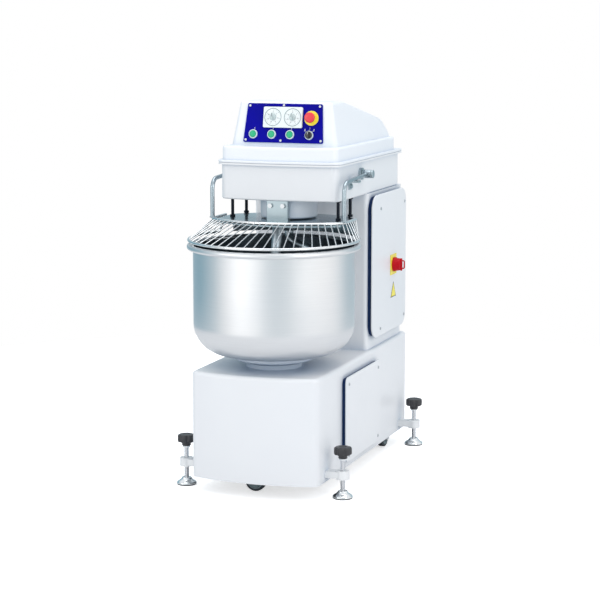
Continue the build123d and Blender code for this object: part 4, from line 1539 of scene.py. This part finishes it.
@dataclass
class Caster:
    """One caster wheel: a moulded tyre on a ribbed hub with an axle bush."""

    node: str
    half: float = 14.0
    spokes: int = 6

    def build(self) -> None:
        """Shapes the tyre, the hub and its bush."""
        at = middle(self.node)
        low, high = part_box(self.node)
        along_x = high.x - low.x < high.y - low.y
        place = Matrix.Translation(at) @ (FACING_X if along_x else FACING_BACK)
        body, h = body_of(self.node), self.half
        tyre = Form(place)
        tyre.lathe([(30.0, -h + 1.0), (36.0, -h + 0.4), (38.6, -h + 2.0), (39.8, -h + 5.4),
                    (40.0, -2.2), (39.2, -1.2), (39.2, 1.2), (40.0, 2.2), (39.8, h - 5.4),
                    (38.6, h - 2.0), (36.0, h - 0.4), (30.0, h - 1.0)], 72, loop=True)
        tyre.piece(f"{self.node}_tyre", TYRE, body, "wheel_rubber", replaces=[self.node])
        hub = Form(place)
        hub.lathe([(6.4, -h + 0.2), (10.6, -h + 0.2), (11.2, -h + 1.0), (12.0, -h + 4.6),
                   (27.0, -h + 4.2), (28.6, -h + 1.2), (30.4, -h + 0.9), (30.4, h - 0.9),
                   (28.6, h - 1.2), (27.0, h - 4.2), (12.0, h - 4.6), (11.2, h - 1.0),
                   (10.6, h - 0.2), (6.4, h - 0.2)], 60, loop=True)
        for i in range(self.spokes):
            a = math.tau * i / self.spokes
            spoke = Form(place @ Matrix.Rotation(a, 4, "Z"))
            spoke.slab([(10.0, -1.1), (28.2, -1.1), (28.2, 1.1), (10.0, 1.1)],
                       [(0.3, -h + 1.4), (0.0, -h + 2.0), (0.0, h - 2.0), (0.3, h - 1.4)])
            hub.take(spoke)
        hub.piece(f"{self.node}_hub", HUB_GREY, body, "wheel_rubber")


@dataclass
class Casters:
    """The transport casters under the base."""

    def build(self) -> None:
        """Shapes the wheels and dresses forks and mounts."""
        for node in sorted(n for n in frame["nodes"] if n.startswith("caster_wheel")):
            Caster(node).build()
        dress(["caster_mounts", "caster_fork"], ZINC)


@dataclass
class Cabinet:
    """The painted housings, doors, covers and their seals and screws."""

    def build(self) -> None:
        """Dresses the housings."""
        dress(["base_housing", "column_housing", "cabinet_door", "head_housing", "base_doors",
               "service_covers"], PAINT)
        dress(["base_frame"], FRAME_PAINT)
        # Gasket colour carries painted shadow for the gaps round doors and covers.
        dress(["cover_gaskets"], GASKET_GAP_SHADE)
        dress(["cover_screws"], ZINC)
        dress(["wiring_plate"], BOARD)
        dress(["cable_gland"], KNOB_BLACK)


# ------------------------------------------------------------------ studio
@dataclass
class Studio:
    """Floor, light and camera."""

    azimuth: float = 19.74
    elevation: float = 8.75
    distance: float = 7.197
    lens: float = 113.844
    sensor: float = 36.0
    side_step: float = 0.0631
    aim_y: float = -0.1915
    aim_z: float = 0.6909
    floor_radius: float = 3.1
    walls: tuple[tuple[float, float], ...] = (
        (-180, 0.62), (-128, 0.40), (-95, 0.55), (-72, 1.0), (-50, 1.60), (-30, 1.40),
        (-4, 0.74), (14, 0.76), (38, 0.92), (62, 1.16), (92, 1.10), (125, 0.60), (180, 0.62))
    peak: float = 1.6
    coolness: float = 0.32
    sky: Colour = (0.60, 0.61, 0.63)

    def camera(self) -> None:
        """Puts the camera at the viewing angle and makes it the scene's own."""
        a, e = math.radians(self.azimuth), math.radians(self.elevation)
        back = Vector((math.sin(a) * math.cos(e), -math.cos(a) * math.cos(e), math.sin(e)))
        right = Vector((math.cos(a), math.sin(a), 0.0))
        target = Vector((0.0, self.aim_y, self.aim_z)) + right * self.side_step
        data = bpy.data.cameras.new("studio_camera")
        data.lens, data.sensor_width = self.lens, self.sensor
        camera = bpy.data.objects.new("studio_camera", data)
        camera.location = target + back * self.distance
        camera.rotation_euler = (-back).to_track_quat("-Z", "Y").to_euler()
        bpy.context.scene.collection.objects.link(camera)
        bpy.context.scene.camera = camera

    def softbox(self, name: str, at: Point, aim: Point, size: tuple[float, float],
                power: float) -> None:
        """One large soft light.

        Args:
            name: The light's name.
            at: Where it stands.
            aim: What it points at.
            size: Width and height in metres.
            power: Power in watts.
        """
        data = bpy.data.lights.new(name, "AREA")
        data.shape = "RECTANGLE"
        data.size, data.size_y = size
        data.energy = power
        light = bpy.data.objects.new(name, data)
        light.location = at
        aim_line = Vector(aim) - Vector(at)
        light.rotation_euler = aim_line.to_track_quat("-Z", "Y").to_euler()
        bpy.context.scene.collection.objects.link(light)

    def surround(self) -> None:
        """A white room with a bright window left of the machine and greyer walls beside it."""
        world = bpy.data.worlds.new("studio_room")
        bpy.context.scene.world = world
        world.use_nodes = True
        world.node_tree.nodes.clear()
        graph = Graph(world)
        split = graph.add("ShaderNodeSeparateXYZ")
        graph.feed(split.inputs[0], graph.coords.node.outputs["Generated"])
        x, y, z = split.outputs
        cos, sin = math.cos(math.radians(self.azimuth)), math.sin(math.radians(self.azimuth))
        across = graph.sum("ADD", graph.sum("MULTIPLY", x, cos), graph.sum("MULTIPLY", y, sin))
        ahead = graph.sum("ADD", graph.sum("MULTIPLY", x, sin), graph.sum("MULTIPLY", y, -cos))
        turn = graph.sum("ARCTAN2", across, ahead)
        ramp = graph.add("ShaderNodeValToRGB")
        graph.feed(ramp.inputs[0], graph.span(turn, -math.pi, math.pi, 0.0, 1.0))
        ramp.color_ramp.interpolation = "EASE"
        while len(ramp.color_ramp.elements) < len(self.walls):
            ramp.color_ramp.elements.new(0.5)
        for element, (angle, grey) in zip(ramp.color_ramp.elements, self.walls):
            element.position = angle / 360 + 0.5
            cool = max(0.0, 1.0 - grey) * self.coolness
            shares = (grey - cool, grey, grey + cool * 0.5)
            element.color = (*(share / self.peak for share in shares), 1.0)
        tone = graph.blend(graph.span(z, 0.35, 0.75, 0.0, 1.0), ramp.outputs[0], self.sky)
        room, white = graph.add("ShaderNodeBackground"), graph.add("ShaderNodeBackground")
        graph.feed(room.inputs[0], tone)
        graph.feed(room.inputs[1], self.peak)
        graph.feed(white.inputs[0], (1.0, 1.0, 1.0))
        swap = graph.add("ShaderNodeMixShader")
        seen = graph.add("ShaderNodeLightPath").outputs["Is Camera Ray"]
        for target, source in zip(swap.inputs, (seen, room.outputs[0], white.outputs[0])):
            graph.feed(target, source)
        graph.feed(graph.add("ShaderNodeOutputWorld").inputs[0], swap.outputs[0])

    def floor(self) -> None:
        """A plain pale floor, round, lit a little from within so that shadows stay soft."""
        mesh = bpy.data.meshes.new("studio_floor")
        ring = arc_points((0.0, 0.0), self.floor_radius, 0.0, 360.0, 96)[:-1]
        mesh.from_pydata([(x, y, 0.0) for x, y in ring], [], [tuple(range(len(ring)))])
        graph = Graph(bpy.data.materials.new("floor_white"))
        tone = graph.blend(graph.noise(0.8, 3.0), (0.90, 0.90, 0.91), (0.87, 0.88, 0.90))
        seen = graph.add("ShaderNodeLightPath").outputs["Is Camera Ray"]
        glow = graph.span(seen, 0.0, 1.0, 0.0, 0.62)
        tone = graph.blend(seen, (0.77, 0.77, 0.78), tone)
        graph.surface(Base_Color=tone, Roughness=0.8, Specular_IOR_Level=0.1,
                      Emission_Color=(1.0, 1.0, 1.0), Emission_Strength=glow)
        mesh.materials.append(graph.owner)
        floor = bpy.data.objects.new("studio_floor", mesh)
        bpy.context.scene.collection.objects.link(floor)

    def build(self) -> None:
        """Sets up the whole studio."""
        bpy.context.scene.view_settings.view_transform = "Standard"
        self.surround()
        self.floor()
        aim = (0.0, -0.1, 0.75)
        self.softbox("key_left", (-3.2, -4.2, 2.6), aim, (0.9, 2.4), 20.0)
        self.softbox("fill_right", (3.8, -2.6, 2.0), aim, (1.2, 2.4), 33.0)
        self.softbox("top", (0.0, 0.2, 4.2), aim, (3.0, 3.0), 45.0)
        self.camera()


def main() -> None:
    logging.basicConfig(level=logging.INFO, format="%(name)s: %(message)s")
    Studio().build()
    for part in (Cabinet(), Cover(), Bowl(), Tools(), Guard(), ControlPanel(), Isolator(),
                 Casters()):
        part.build()
    for corner in ("front_left", "front_right", "rear_left", "rear_right"):
        Foot(corner).build()


if __name__ == "__main__":
    main()
